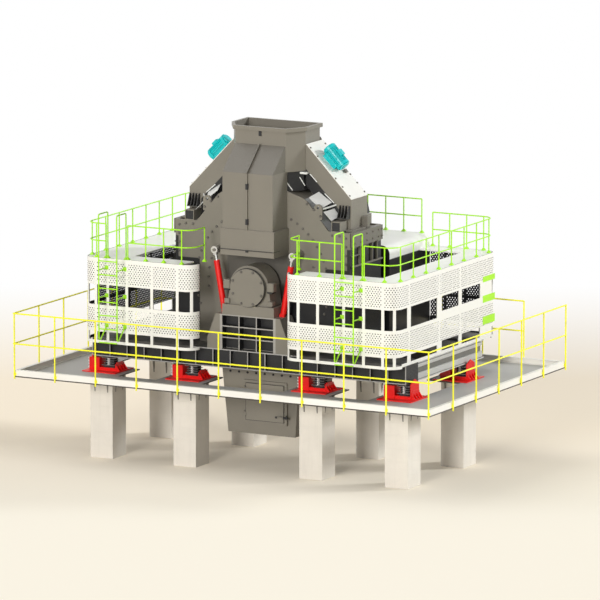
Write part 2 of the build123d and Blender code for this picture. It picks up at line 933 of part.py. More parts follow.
def front_roof_rail(ladder_x):
    """Front run with a gap where the ladder arrives; two solids."""
    y = rail_lines()[0]
    half = roof_rail_tube / 2
    first = guard_inner_x + guard_corner
    last = rail_lines()[1] - guard_corner + guard_sheet
    gap_low = ladder_x - ladder_width / 2 - roof_rail_tube
    gap_high = ladder_x + ladder_width / 2 + roof_rail_tube
    top = guard_top + roof_rail_height - half
    short = upright(first, y, guard_top, top)
    for at in spread(first, gap_low, roof_front_pitch):
        short += upright(at, y, guard_top, top)
    long_run = upright(gap_high, y, guard_top, top)
    for at in spread(gap_high, last, roof_front_pitch):
        long_run += upright(at, y, guard_top, top)
    for level in rail_levels():
        short += block(first - half, gap_low + half, y - half, y + half, level - half, level + half)
        long_run += bent_bar(gap_high - half, y, -1, level)
    return [short, long_run]


def end_roof_rail():
    front, x, back = rail_lines()
    half = roof_rail_tube / 2
    radius = guard_corner - guard_sheet
    y0 = front + radius + clearance
    y1 = back - radius - clearance
    top = guard_top + roof_rail_height - half
    rail = None
    for level in rail_levels():
        bar = block(x - half, x + half, y0, y1, level - half, level + half)
        rail = bar if rail is None else rail + bar
    pitch = (y1 - y0 - roof_rail_tube) / roof_end_bays
    for number in range(roof_end_bays + 1):
        rail += upright(x, y0 + half + number * pitch, guard_top, top)
    return rail


def back_roof_rail():
    y = rail_lines()[2]
    half = roof_rail_tube / 2
    first = drive_hood_half + 2 * roof_rail_tube
    last = rail_lines()[1] - guard_corner + guard_sheet
    top = guard_top + roof_rail_height - half
    rail = upright(first, y, guard_top, top)
    for at in spread(first, last, roof_front_pitch):
        rail += upright(at, y, guard_top, top)
    for level in rail_levels():
        rail += bent_bar(first - half, y, 1, level)
    return rail


def hood_rail():
    """Rail along the back edge of the drive hood, a step above the roof rails."""
    y = rail_lines()[2]
    half = roof_rail_tube / 2
    step = drive_hood_top - guard_top
    end = drive_hood_half - drive_hood_radius
    top = drive_hood_top + roof_rail_height - half
    rail = None
    for level in rail_levels():
        bar = block(-end - half, end + half, y - half, y + half, level + step - half,
                    level + step + half)
        rail = bar if rail is None else rail + bar
    for at in spread(-end, end, roof_front_pitch):
        rail += upright(at, y, drive_hood_top, top)
    return rail


def ladder(x):
    """Stand-off ladder: stiles bend back over the rail line and in at the foot."""
    half = ladder_tube / 2
    y = guard_front_y - ladder_standoff
    rail_y = rail_lines()[0]
    top = guard_top + roof_rail_height + ladder_rise
    low = ladder_foot + ladder_standoff
    result = None
    for side in (-1, 1):
        at = x + side * (ladder_width - ladder_tube) / 2
        stile = block(at - half, at + half, y - half, y + half, ladder_foot, top)
        stile += block(at - half, at + half, y, rail_y + half, top - ladder_tube, top)
        stile += block(at - half, at + half, rail_y - half, rail_y + half, guard_top, top)
        strut = [(y + half, ladder_foot), (y + half, ladder_foot + ladder_tube),
                 (guard_front_y, low + ladder_tube), (guard_front_y, low)]
        stile += plate_x(strut, at - half, at + half)
        for level in (window_bottom - 2 * post_width, window_top + 2 * post_width):
            stile += block(at - half, at + half, y, guard_front_y, level - half, level + half)
        result = stile if result is None else result + stile
    reach = (ladder_width - ladder_tube) / 2
    for level in spread(ladder_foot + half, guard_top, rung_pitch):
        result += block(x - reach, x + reach, y - half, y + half, level - half, level + half)
    return result


# Drive hood behind the body
def drive_hood():
    """Closed hood with rounded long edges and a bay for the back bearing."""
    front = body_back + drive_hood_gap
    back = guard_back_y - guard_sheet
    half = drive_hood_half
    hood = block(-half, half, front, back, frame_top, drive_hood_top)
    edges = hood.edges().filter_by(Axis.Y).group_by(Axis.Z)[-1]
    hood = fillet(edges, drive_hood_radius)
    bearing_end = 2 * body_centre_y - frame_front - bearing_setback + bearing_cover_proud
    bay = block(-drive_bay_half, drive_bay_half, front, bearing_end + drive_bay_margin, frame_top,
                drive_hood_top)
    return hood - bay


save("support_columns", *[support_column(x, y) for x, y in column_spots()])
save("column_caps", *[column_cap(x, y) for x, y in column_spots()])
save("walkway_deck", walkway_deck())
save("edge_channel", edge_channel())
rail_offset = deck_width / 2 + rail_tube / 2
end_offset = deck_length / 2 + rail_tube / 2
side_rail = Rot(0, 0, 90) * handrail(deck_width, side_bays, side_bays, False)
save("front_handrail", Pos(0, -rail_offset, 0) * handrail(deck_length, front_bays, front_bays, True))
save("back_handrail", Pos(0, rail_offset, 0) * handrail(deck_length, front_bays, front_bays - 1, True))
save("left_handrail", Pos(-end_offset, 0, 0) * side_rail)
save("right_handrail", Pos(end_offset, 0, 0) * side_rail)
save("isolator_seats", *[isolator_seat(x, y) for x, y in column_spots()])
save("isolator_springs", *[isolator_spring(x, y) for x, y in column_spots()])

far_girder = 2 * body_centre_y - girder_back
save("base_front_girder", girder(frame_front, girder_back, frame_length / 2))
save("base_back_girder", girder(far_girder, back_row_y + girder_width / 2, inner_x))
save("base_end_beams", end_beam(), other_end(end_beam()))
near_beam = beam_section(girder_back + clearance, body_front + inner_beam_inset)
rear_beam = beam_section(frame_back - end_beam_width, frame_back)
save("base_inner_beams", near_beam, other_face(near_beam), rear_beam)

save("discharge_chute", discharge_chute())
save("chute_door", chute_door())
save("body_core", body_core())
save("body_front_plate", body_side_plate())
save("body_back_plate", other_face(body_side_plate()))
save("body_end_walls", body_end_wall(), other_end(body_end_wall()))
save("feed_throat", feed_throat())
save("inlet_chute", inlet_chute())
save("front_air_duct", air_duct())
save("back_air_duct", other_face(air_duct()))
save("rack_covers", rack_cover(), other_end(rack_cover()))
save("rack_top_sheets", top_sheet(), other_end(top_sheet()))
save("vibrator_motors", vibrator_motor(), other_end(vibrator_motor()))
brackets = [rack_bracket(), other_end(rack_bracket())]
save("rack_brackets", *brackets, *[other_face(bracket) for bracket in brackets])
tubes = [spring_tube(), other_end(spring_tube())]
save("spring_tubes", *tubes, *[other_face(tube) for tube in tubes])

save("bearing_stands", bearing_stand(), other_face(bearing_stand()))
save("bearing_housings", bearing_housing(), other_face(bearing_housing()))
for name, piece in (("cylinder_barrels", cylinder_barrel()), ("cylinder_rods", cylinder_rod()),
                    ("cylinder_pins", cylinder_pin())):
    pair = [piece, other_end(piece)]
    save(name, *pair, *[other_face(one) for one in pair])

save("front_guards", long_guard(guard_front_y, right_posts, guard_inner_x, True),
     other_end(long_guard(guard_front_y, [-at for at in left_posts], guard_inner_x, True)))
save("back_guards", back_guard(), other_end(back_guard()))
save("end_guards", end_guard(), other_end(end_guard()))
floors = [guard_floor(guard_front_y, frame_front), guard_floor(guard_back_y, frame_back)]
save("guard_floors", *floors, *[other_end(floor) for floor in floors])
save("roof_decks", roof_deck(right_roof_strip), other_end(roof_deck(left_roof_strip)))
save("front_roof_rails", *front_roof_rail(ladder_centres[0]),
     *[other_end(rail) for rail in front_roof_rail(-ladder_centres[1])])
save("end_roof_rails", end_roof_rail(), other_end(end_roof_rail()))
save("back_roof_rails", back_roof_rail(), other_end(back_roof_rail()), hood_rail())
save("ladders", *[ladder(x) for x in ladder_centres])
save("drive_hood", drive_hood())
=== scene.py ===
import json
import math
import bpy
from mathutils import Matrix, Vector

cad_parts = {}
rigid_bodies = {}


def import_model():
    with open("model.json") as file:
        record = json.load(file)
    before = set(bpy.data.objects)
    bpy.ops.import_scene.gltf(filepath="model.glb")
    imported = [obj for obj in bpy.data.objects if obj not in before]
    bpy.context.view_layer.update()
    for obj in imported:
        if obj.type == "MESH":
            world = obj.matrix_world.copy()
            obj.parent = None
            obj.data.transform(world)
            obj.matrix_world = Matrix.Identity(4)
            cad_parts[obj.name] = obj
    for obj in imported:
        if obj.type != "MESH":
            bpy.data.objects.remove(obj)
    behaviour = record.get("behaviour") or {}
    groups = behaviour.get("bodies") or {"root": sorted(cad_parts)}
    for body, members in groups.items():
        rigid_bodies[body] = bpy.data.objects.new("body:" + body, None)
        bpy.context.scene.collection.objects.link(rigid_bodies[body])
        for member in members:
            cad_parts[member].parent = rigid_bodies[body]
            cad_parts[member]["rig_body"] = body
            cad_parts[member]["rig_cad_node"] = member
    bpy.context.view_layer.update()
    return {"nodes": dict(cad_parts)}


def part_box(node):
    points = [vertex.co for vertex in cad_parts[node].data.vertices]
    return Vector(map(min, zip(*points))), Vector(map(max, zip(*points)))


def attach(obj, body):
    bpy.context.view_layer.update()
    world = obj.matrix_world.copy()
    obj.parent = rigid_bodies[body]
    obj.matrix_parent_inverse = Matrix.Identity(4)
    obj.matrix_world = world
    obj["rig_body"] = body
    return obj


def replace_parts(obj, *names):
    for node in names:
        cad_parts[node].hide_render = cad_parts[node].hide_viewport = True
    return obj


bl_info = {
    "name": "Impact crusher dressing",
    "version": (1, 0, 0),
    "blender": (4, 5, 0),
    "location": "View3D > Sidebar > Crusher",
    "description": "Finishes, perforated guards, rails and fastenings of an impact crusher on its walkway",
    "category": "Object",
}

import bpy
from bpy.props import FloatProperty, FloatVectorProperty, IntProperty, PointerProperty
from mathutils import Matrix, Vector

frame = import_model()

# Heights and lines that several pieces share, in metres
guard_low, guard_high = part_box("front_guards")
guard_front = guard_low.y
guard_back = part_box("back_guards")[1].y
guard_inner = 1.040
guard_corner = 0.270
guard_sheet = 0.030
window_bottom = 3.310
body_low, body_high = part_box("body_front_plate")
body_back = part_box("body_back_plate")[1].y
body_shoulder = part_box("body_end_walls")[1].z
machine_y = (body_low.y + body_back) / 2
rotor_z = 3.857
girder_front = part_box("base_front_girder")[0].y
beam_low, beam_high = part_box("base_end_beams")
hood_low, hood_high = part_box("drive_hood")
deck_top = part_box("walkway_deck")[1].z

# Down the slope of the rack covers, and how far along it their undersides lie
cover_slope = Vector((0.717, 0, 0.697))
cover_underside = 4.949

# Uprights of the guards: x on the fronts and backs, from and to in y on the ends
right_posts = (1.392, 1.840, 2.436, 2.893, 3.330)
left_posts = (-3.330, -3.051, -2.603, -2.014, -1.416)
end_posts = ((-1.790, -1.651), (-0.465, -0.262), (0.512, 0.646), (1.494, 2.030))

# The ladders' middles in x, right and left
ladder_places = (2.620, -2.860)


def screen(*tone):
    """A colour read on a screen, 0 to 255, as the light values that a shader takes."""
    shares = [value / 255 for value in tone]
    return tuple(share / 12.92 if share <= 0.04045 else ((share + 0.055) / 1.055) ** 2.4
                 for share in shares)


class CrusherSizes(bpy.types.PropertyGroup):
    hole_diameter: FloatProperty(
        name="Hole", description="Bore of one perforation in the guard sheets",
        default=0.026, min=0.01, max=0.04, unit="LENGTH")
    hole_pitch: FloatProperty(
        name="Hole pitch", description="Distance between perforations along a row",
        default=0.062, min=0.045, max=0.12, unit="LENGTH")
    row_pitch: FloatProperty(
        name="Row pitch", description="Distance between rows of perforations",
        default=0.04375, min=0.03, max=0.1, unit="LENGTH")
    double_rows: IntProperty(
        name="Double rows", description="Pairs of staggered rows in one band of perforations",
        default=5, min=1, max=8)
    sheet_thickness: FloatProperty(
        name="Sheet", description="Thickness of the perforated sheet",
        default=0.005, min=0.002, max=0.02, unit="LENGTH")
    rail_diameter: FloatProperty(
        name="Walkway rail", description="Diameter of the yellow walkway rails",
        default=0.033, min=0.02, max=0.04, unit="LENGTH")
    bolt_width: FloatProperty(
        name="Bolt", description="Width across the corners of the plate bolts",
        default=0.046, min=0.02, max=0.08, unit="LENGTH")


class CrusherColours(bpy.types.PropertyGroup):
    steel: FloatVectorProperty(
        name="Steel", description="Taupe paint of the crusher body",
        default=screen(124, 119, 109), size=3, subtype="COLOR", min=0, max=1)
    frame_black: FloatVectorProperty(
        name="Frame", description="Near black paint of the base frame",
        default=screen(26, 26, 28), size=3, subtype="COLOR", min=0, max=1)
    guard_white: FloatVectorProperty(
        name="Guard", description="White powder coat of the guards",
        default=screen(240, 239, 234), size=3, subtype="COLOR", min=0, max=1)
    lime: FloatVectorProperty(
        name="Lime", description="Lime paint of the roof rails and ladders",
        default=screen(168, 236, 16), size=3, subtype="COLOR", min=0, max=1)
    yellow: FloatVectorProperty(
        name="Yellow", description="Yellow paint of the walkway rails",
        default=screen(250, 246, 40), size=3, subtype="COLOR", min=0, max=1)
    red: FloatVectorProperty(
        name="Red", description="Red paint of isolators and cylinders",
        default=screen(232, 16, 12), size=3, subtype="COLOR", min=0, max=1)
    teal: FloatVectorProperty(
        name="Teal", description="Teal paint of the vibrator motors",
        default=screen(0, 190, 194), size=3, subtype="COLOR", min=0, max=1)
    deck: FloatVectorProperty(
        name="Deck", description="Grey paint of the walkway plate",
        default=screen(178, 177, 174), size=3, subtype="COLOR", min=0, max=1)
    concrete: FloatVectorProperty(
        name="Concrete", description="Pale concrete of the columns",
        default=screen(232, 226, 216), size=3, subtype="COLOR", min=0, max=1)


def sizes():
    """The sizes set in the panel."""
    return bpy.context.scene.crusher_sizes


def colours():
    """The colours set in the panel."""
    return bpy.context.scene.crusher_colours


# Selecting, editing and keeping pieces
def only(*pieces):
    """Selects these pieces alone, in object mode."""
    if bpy.context.mode != "OBJECT":
        bpy.ops.object.mode_set(mode="OBJECT")
    bpy.ops.object.select_all(action="DESELECT")
    for piece in pieces:
        piece.select_set(True)
    if pieces:
        bpy.context.view_layer.objects.active = pieces[0]


def enter_edit(piece):
    """Opens a piece in edit mode with all of it selected."""
    only(piece)
    bpy.ops.object.mode_set(mode="EDIT")
    bpy.ops.mesh.select_all(action="SELECT")


def leave_edit():
    """Goes back to object mode."""
    bpy.ops.object.mode_set(mode="OBJECT")


def face_outwards(piece):
    """Turns all faces of a piece outwards."""
    enter_edit(piece)
    bpy.ops.mesh.normals_make_consistent(inside=False)
    leave_edit()
    return piece


def settle(piece):
    """Puts the piece's place, turn and scale into its mesh."""
    only(piece)
    bpy.ops.object.transform_apply(location=True, rotation=True, scale=True)
    return piece


def apply_modifier(piece, kind, **settings):
    """Adds one modifier and applies it."""
    only(piece)
    modifier = piece.modifiers.new(kind.lower(), kind)
    for name, value in settings.items():
        setattr(modifier, name, value)
    bpy.ops.object.modifier_apply(modifier=modifier.name)
    return piece


def ease(piece, width, segments=1):
    """Rounds the sharp edges of a piece."""
    return apply_modifier(piece, "BEVEL", width=width, segments=segments, limit_method="ANGLE",
                          angle_limit=math.radians(40), harden_normals=False)


def join(pieces):
    """One piece made of several."""
    only(*pieces)
    if len(pieces) > 1:
        bpy.ops.object.join()
    return bpy.context.object


def keep(piece, name, slot, *coats, body="plant"):
    """Names a finished piece, gives it its finish and lets it ride on its body."""
    only(piece)
    piece.name = piece.data.name = name
    if len(piece.data.materials) < len(coats) or len(coats) == 1:
        piece.data.materials.clear()
        for coat in coats:
            piece.data.materials.append(coat)
    bpy.ops.object.shade_smooth_by_angle(angle=math.radians(30))
    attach(piece, body)
    return piece


def facing(point, direction):
    """A place at a point, with its Z axis along a direction."""
    turn = Vector(direction).to_track_quat("Z", "Y").to_matrix().to_4x4()
    return Matrix.Translation(Vector(point)) @ turn


def duplicate(piece):
    """A copy of a piece with its own mesh."""
    copy = piece.copy()
    copy.data = piece.data.copy()
    bpy.context.collection.objects.link(copy)
    return copy


def copies(model, places):
    """One mesh made of copies of a model, one for each place; the model goes."""
    made = [duplicate(model) for place in places]
    for copy, place in zip(made, places):
        copy.matrix_world = place
    bpy.data.objects.remove(model)
    only(*made)
    bpy.ops.object.transform_apply(location=True, rotation=True, scale=True)
    return join(made)


def mirrored_x(piece):
    """A copy at the opposite end, its faces turned outwards again."""
    only(piece)
    copy = duplicate(piece)
    copy.scale.x = -1
    return settle(copy)


def both_ends(piece):
    """A piece of the right end, joined with its mirror image at the left end."""
    return join([piece, mirrored_x(piece)])


def slab(low, high, eased=0.0):
    """A plate between two opposite corners, with eased edges."""
    only()
    low, high = Vector(low), Vector(high)
    bpy.ops.mesh.primitive_cube_add(size=1, location=(low + high) / 2)
    piece = bpy.context.object
    piece.scale = high - low
    settle(piece)
    return ease(piece, eased) if eased else piece


def right_or_left(side, near, far):
    """Two distances from the middle as x on one side of it, 1 or -1, the lower first."""
    return sorted((side * near, side * far))


def rod(start, end, radius, sides=10, eased=0.0):
    """A round bar between two points."""
    only()
    start, end = Vector(start), Vector(end)
    run = end - start
    bpy.ops.mesh.primitive_cylinder_add(vertices=sides, radius=radius, depth=run.length)
    piece = bpy.context.object
    piece.matrix_world = facing((start + end) / 2, run)
    settle(piece)
    return ease(piece, eased) if eased else piece


def tube_run(stops, radius, bend=0.0):
    """A round tube along straight stretches, with an arc of radius bend at each corner."""
    only()
    bpy.ops.curve.primitive_bezier_curve_add(location=(0, 0, 0))
    line = bpy.context.object
    line.data.dimensions = "3D"
    stops = [Vector(stop) for stop in stops]
    straight = 0.01
    knots = [(stops[0], (stops[1] - stops[0]).normalized(), straight, straight)]
    for before, corner, after in zip(stops, stops[1:], stops[2:]):
        arrive, leave = (corner - before).normalized(), (after - corner).normalized()
        turn = arrive.angle(leave)
        cut = bend * math.tan(turn / 2)
        bow = max(0.001, 4 / 3 * math.tan(turn / 4) * bend)
        knots.append((corner - arrive * cut, arrive, straight, bow))
        knots.append((corner + leave * cut, leave, bow, straight))
    knots.append((stops[-1], (stops[-1] - stops[-2]).normalized(), straight, straight))
    spline = line.data.splines[0]
    spline.bezier_points.add(len(knots) - len(spline.bezier_points))
    for point, (place, way, behind, ahead) in zip(spline.bezier_points, knots):
        point.handle_left_type = point.handle_right_type = "FREE"
        point.co = place
        point.handle_left = place - way * behind
        point.handle_right = place + way * ahead
    line.data.resolution_u = 5
    line.data.bevel_depth = radius
    line.data.bevel_resolution = 2
    line.data.use_fill_caps = True
    bpy.ops.object.convert(target="MESH")
    piece = bpy.context.object
    enter_edit(piece)
    bpy.ops.mesh.dissolve_limited(angle_limit=math.radians(1))
    leave_edit()
    return settle(piece)


def foot_plate():
    """Small pyramid that a rail or bracket stands on, rising from the origin along Z."""
    only()
    half, height = 0.045, 0.05
    bpy.ops.mesh.primitive_cone_add(vertices=4, radius1=half * 1.414, radius2=half * 0.5,
                                    depth=height, location=(0, 0, height / 2),
                                    rotation=(0, 0, math.radians(45)))
    return ease(settle(bpy.context.object), 0.003)


def panel(corners, thickness):
    """A flat sheet between four corners, given round its edge."""
    only()
    bpy.ops.mesh.primitive_plane_add(size=1)
    piece = bpy.context.object
    for index, corner in zip(piece.data.polygons[0].vertices, corners):
        piece.data.vertices[index].co = corner
    return apply_modifier(piece, "SOLIDIFY", thickness=thickness, offset=0.0)


def spread(low, high, pitch):
    """Evenly spaced places from low to high, about one pitch apart."""
    count = max(1, round((high - low) / pitch))
    return [low + number * (high - low) / count for number in range(count + 1)]


def hex_bolt(width, height):
    """Hexagon head on a round washer, standing on the origin along Z."""
    only()
    washer = height * 0.25
    crown = 0.08
    bpy.ops.mesh.primitive_cylinder_add(vertices=12, radius=width * 0.62, depth=washer,
                                        location=(0, 0, washer / 2))
    base = bpy.context.object
    only()
    bpy.ops.mesh.primitive_cylinder_add(vertices=6, radius=width / 2, depth=height - washer,
                                        location=(0, 0, (height + washer) / 2))
    head = bpy.context.object
    enter_edit(head)
    bpy.ops.mesh.select_all(action="DESELECT")
    leave_edit()
    for face in head.data.polygons:
        face.select = face.normal.z > 0.9
    only(head)
    bpy.ops.object.mode_set(mode="EDIT")
    bpy.ops.mesh.inset(thickness=width * crown, depth=height * crown)
    leave_edit()
    return settle(join([base, head]))


def hole_row(pitch, share, level):
    """One plate of a row with its hole, a share of the pitch from its left edge."""
    size = sizes()
    only()
    turn = (math.pi / 2, 0, 0)
    middle = level + size.row_pitch / 2
    bpy.ops.mesh.primitive_plane_add(size=1, location=(pitch / 2, 0, middle), rotation=turn)
    plate = bpy.context.object
    plate.scale = (pitch, size.row_pitch, 1)
    settle(plate)
    enter_edit(plate)
    bpy.ops.mesh.delete(type="ONLY_FACE")
    bpy.ops.mesh.primitive_circle_add(vertices=8, radius=size.hole_diameter / 2,
                                      fill_type="NOTHING", rotation=turn,
                                      location=(pitch * share, 0, middle))
    bpy.ops.mesh.select_all(action="SELECT")
    bpy.ops.mesh.fill(use_beauty=True)
    leave_edit()
    return plate


def perforated_sheet(pitch, count, level, double_rows):
    """A flat sheet with staggered holes along X, white towards -Y and painted dark behind, as painted
    shade.
    """
    size = sizes()
    same_place = 0.0001
    sheet = join([hole_row(pitch, 0.25, level), hole_row(pitch, 0.75, level + size.row_pitch)])
    enter_edit(sheet)
    bpy.ops.mesh.remove_doubles(threshold=same_place)
    bpy.ops.mesh.normals_make_consistent(inside=False)
    leave_edit()
    if sheet.data.polygons[0].normal.y > 0:
        enter_edit(sheet)
        bpy.ops.mesh.flip_normals()
        leave_edit()
    for step, number in (((pitch, 0, 0), count), ((0, 0, 2 * size.row_pitch), double_rows)):
        apply_modifier(sheet, "ARRAY", use_relative_offset=False, use_constant_offset=True,
                       constant_offset_displace=step, count=number, use_merge_vertices=True,
                       merge_threshold=same_place)
    # The back faces and hole walls take the dark finish: painted shade inside the guards.
    sheet.data.materials.append(finishes["guard"])
    sheet.data.materials.append(finishes["dark_joints_and_shade"])
    return apply_modifier(sheet, "SOLIDIFY", thickness=size.sheet_thickness, offset=-1.0,
                          use_rim=True, material_offset=1, material_offset_rim=1)


# Shader nodes
def node(tree, kind, inputs=None, **settings):
    """A shader node; an input takes a number or another node's output."""
    made = tree.nodes.new("ShaderNode" + kind)
    for name, value in settings.items():
        setattr(made, name, value)
    for name, value in (inputs or {}).items():
        if isinstance(value, bpy.types.NodeSocket):
            tree.links.new(value, made.inputs[name])
        else:
            made.inputs[name].default_value = value
    return made


def blank(name):
    """A new material with its tree and its main shader."""
    material = bpy.data.materials.new(name)
    material.use_nodes = True
    tree = material.node_tree
    tree.nodes.clear()
    shader = node(tree, "BsdfPrincipled")
    node(tree, "OutputMaterial", {"Surface": shader.outputs[0]})
    return material, tree, shader


def place_of(tree):
    """The place on the machine, in metres."""
    return node(tree, "TexCoord").outputs["Object"]


def stretched(tree, spot, *scale):
    """The place with its axes scaled, for streaks and scratches."""
    return node(tree, "Mapping", {"Vector": spot, "Scale": scale}).outputs[0]


def cloud(tree, spot, scale, detail=3.0):
    """Soft noise from 0 to 1."""
    return node(tree, "TexNoise", {"Vector": spot, "Scale": scale, "Detail": detail,
                                   "Roughness": 0.55}).outputs["Fac"]


def ramp(tree, source, low, high):
    """Spreads source from low to high over 0 to 1."""
    return node(tree, "MapRange", {0: source, 1: low, 2: high}, clamp=True).outputs[0]


def between(tree, share, low, high):
    """A number between low and high by a share from 0 to 1."""
    return node(tree, "MapRange", {0: share, 3: low, 4: high}, clamp=True).outputs[0]


def blend_colour(tree, share, first, second):
    """The first colour where the share is 0 and the second where it is 1."""
    made = node(tree, "Mix", data_type="RGBA")
    for index, value in ((0, share), (6, first), (7, second)):
        if isinstance(value, bpy.types.NodeSocket):
            tree.links.new(value, made.inputs[index])
        elif index:
            made.inputs[index].default_value = (*value, 1)
        else:
            made.inputs[index].default_value = value
    return made.outputs[2]


def times(tree, first, second, operation="MULTIPLY"):
    """The product of two numbers, or another operation on them."""
    return node(tree, "Math", {0: first, 1: second}, operation=operation).outputs[0]


def shade(tone, factor):
    """A colour made darker or lighter."""
    return tuple(min(1.0, channel * factor) for channel in tone)


def edge_share(tree, radius):
    """1 beside a sharp edge and 0 on the flat."""
    rounded = node(tree, "Bevel", {"Radius": radius}, samples=4).outputs[0]
    plain = node(tree, "NewGeometry").outputs["Normal"]
    match = node(tree, "VectorMath", {0: rounded, 1: plain}, operation="DOT_PRODUCT")
    return ramp(tree, match.outputs["Value"], 0.995, 0.86)


def upward_share(tree):
    """1 on level faces and 0 on steep ones."""
    normal = node(tree, "NewGeometry").outputs["Normal"]
    height = node(tree, "SeparateXYZ", {0: normal}).outputs[2]
    return ramp(tree, height, 0.55, 0.98)


def seen_directly(tree):
    """1 for what the camera sees, straight or mirrored, and 0 for what gives light."""
    path = node(tree, "LightPath")
    seen = times(tree, path.outputs["Is Camera Ray"], path.outputs["Is Glossy Ray"], "MAXIMUM")
    return times(tree, seen, path.outputs["Is Transmission Ray"], "MAXIMUM")


def patches(tree, spot, scale, detail):
    """Soft patches from 0 to 1."""
    return ramp(tree, cloud(tree, spot, scale, detail), 0.3, 0.7)


def emboss(tree, shader, height, depth, strength):
    """Lets the surface rise and fall with a height from 0 to 1."""
    bump = node(tree, "Bump", {"Height": height, "Distance": depth, "Strength": strength})
    tree.links.new(bump.outputs[0], shader.inputs["Normal"])


def zone(tree, spot, across=None, right=None, along=None, height=None, slope=None, soft=0.015):
    """1 inside limits of |x|, x, y, z and of the line down the rack covers' slope."""
    axes = node(tree, "SeparateXYZ", {0: spot}).outputs
    side = times(tree, axes[0], 0.0, "ABSOLUTE")
    fall = times(tree, times(tree, side, cover_slope.x), times(tree, axes[2], cover_slope.z), "ADD")
    share = 1.0
    for value, limits in ((side, across), (axes[0], right), (axes[1], along), (axes[2], height),
                          (fall, slope)):
        if limits:
            low, high = limits
            inside = times(tree, ramp(tree, value, low - soft, low),
                           ramp(tree, value, high + soft, high))
            share = times(tree, share, inside)
    return share


def painted(name, colour, roughness=0.42, patch=0.05, worn=None, dust=0.1, edge=0.006, zones=()):
    """Paint on plate: soft patches, wear along edges, dust on level faces, rolled grain."""
    material, tree, shader = blank(name)
    spot = place_of(tree)
    base = blend_colour(tree, patches(tree, spot, 1.3, 4.0), shade(colour, 1 - patch),
                        shade(colour, 1 + patch))
    specks = ramp(tree, cloud(tree, spot, 38.0), 0.42, 0.62)
    wear = times(tree, edge_share(tree, edge), between(tree, specks, 0.35, 1.0))
    base = blend_colour(tree, wear, base, worn or shade(colour, 1.35))
    settled = times(tree, upward_share(tree), ramp(tree, cloud(tree, spot, 3.1, 5.0), 0.35, 0.75))
    settled = times(tree, settled, dust)
    base = blend_colour(tree, settled, base, screen(176, 168, 152))
    # Zones lay other colours by place; most of those set in all_finishes are painted shade or painted
    # highlight.
    for limits, other in zones:
        base = blend_colour(tree, zone(tree, spot, **limits), base, other)
    tree.links.new(base, shader.inputs["Base Color"])
    tree.links.new(between(tree, specks, roughness - 0.06, roughness + 0.1),
                   shader.inputs["Roughness"])
    emboss(tree, shader, cloud(tree, spot, 90.0, 2.0), 0.0006, 0.6)
    return material


def guard_coat_and_shade(name, white, black):
    """Powder coat, white outside the guards; the faces towards the guarded room are painted black as
    painted shade.
    """
    material, tree, shader = blank(name)
    spot = place_of(tree)
    axes = node(tree, "SeparateXYZ", {0: spot})
    middle_x = (guard_high.x + guard_inner) / 2
    half_x = (guard_high.x - guard_inner) / 2
    across = times(tree, axes.outputs[0], 0.0, "ABSOLUTE")
    across = times(tree, times(tree, across, middle_x, "SUBTRACT"), 0.0, "ABSOLUTE")
    along = times(tree, axes.outputs[1], 0.0, "ABSOLUTE")
    past_x = times(tree, times(tree, across, half_x - guard_corner, "SUBTRACT"), 0.0, "MAXIMUM")
    past_y = times(tree, times(tree, along, guard_back - guard_corner, "SUBTRACT"), 0.0, "MAXIMUM")
    corner = node(tree, "CombineXYZ", {0: past_x, 1: past_y}).outputs[0]
    reach = node(tree, "VectorMath", {0: corner}, operation="LENGTH").outputs["Value"]
    outside = ramp(tree, reach, guard_corner - 0.017, guard_corner - 0.014)
    coat = blend_colour(tree, patches(tree, spot, 1.1, 4.0), shade(white, 0.97), white)
    streaks = cloud(tree, stretched(tree, spot, 5.0, 5.0, 0.35), 4.0, 4.0)
    streaks = times(tree, ramp(tree, streaks, 0.55, 0.8), 0.12)
    coat = blend_colour(tree, streaks, coat, screen(196, 190, 176))
    # Painted highlight: the guards' sharp edges are brightened towards pure white.
    edges = times(tree, edge_share(tree, 0.006), 0.35)
    coat = blend_colour(tree, edges, coat, screen(255, 255, 252))
    # Painted shade: faces towards the guarded room take the black.
    base = blend_colour(tree, outside, black, coat)
    tree.links.new(base, shader.inputs["Base Color"])
    shader.inputs["Roughness"].default_value = 0.5
    emboss(tree, shader, cloud(tree, spot, 140.0, 2.0), 0.0004, 0.6)
    return material


def cast_concrete(name, colour):
    """Formed concrete: board joints, pores, water stains."""
    material, tree, shader = blank(name)
    spot = place_of(tree)
    base = blend_colour(tree, patches(tree, spot, 1.6, 6.0), shade(colour, 0.92),
                        shade(colour, 1.02))
    stain = cloud(tree, stretched(tree, spot, 6.0, 6.0, 0.5), 1.5, 5.0)
    stain = times(tree, ramp(tree, stain, 0.5, 0.8), 0.12)
    base = blend_colour(tree, stain, base, screen(168, 160, 146))
    pores = node(tree, "TexVoronoi", {"Vector": spot, "Scale": 26.0}).outputs["Distance"]
    pits = ramp(tree, pores, 0.10, 0.05)
    base = blend_colour(tree, times(tree, pits, 0.5), base, shade(colour, 0.5))
    tree.links.new(base, shader.inputs["Base Color"])
    shader.inputs["Roughness"].default_value = 0.88
    boards = node(tree, "TexWave", {"Vector": spot, "Scale": 1.15, "Distortion": 0.0},
                  bands_direction="Z", wave_profile="SAW").outputs["Fac"]
    joint = ramp(tree, boards, 0.97, 1.0)
    rough = times(tree, cloud(tree, spot, 30.0, 6.0), 0.5)
    height = times(tree, rough, times(tree, joint, -0.6), "ADD")
    height = times(tree, height, times(tree, pits, -0.5), "ADD")
    emboss(tree, shader, height, 0.006, 0.7)
    return material


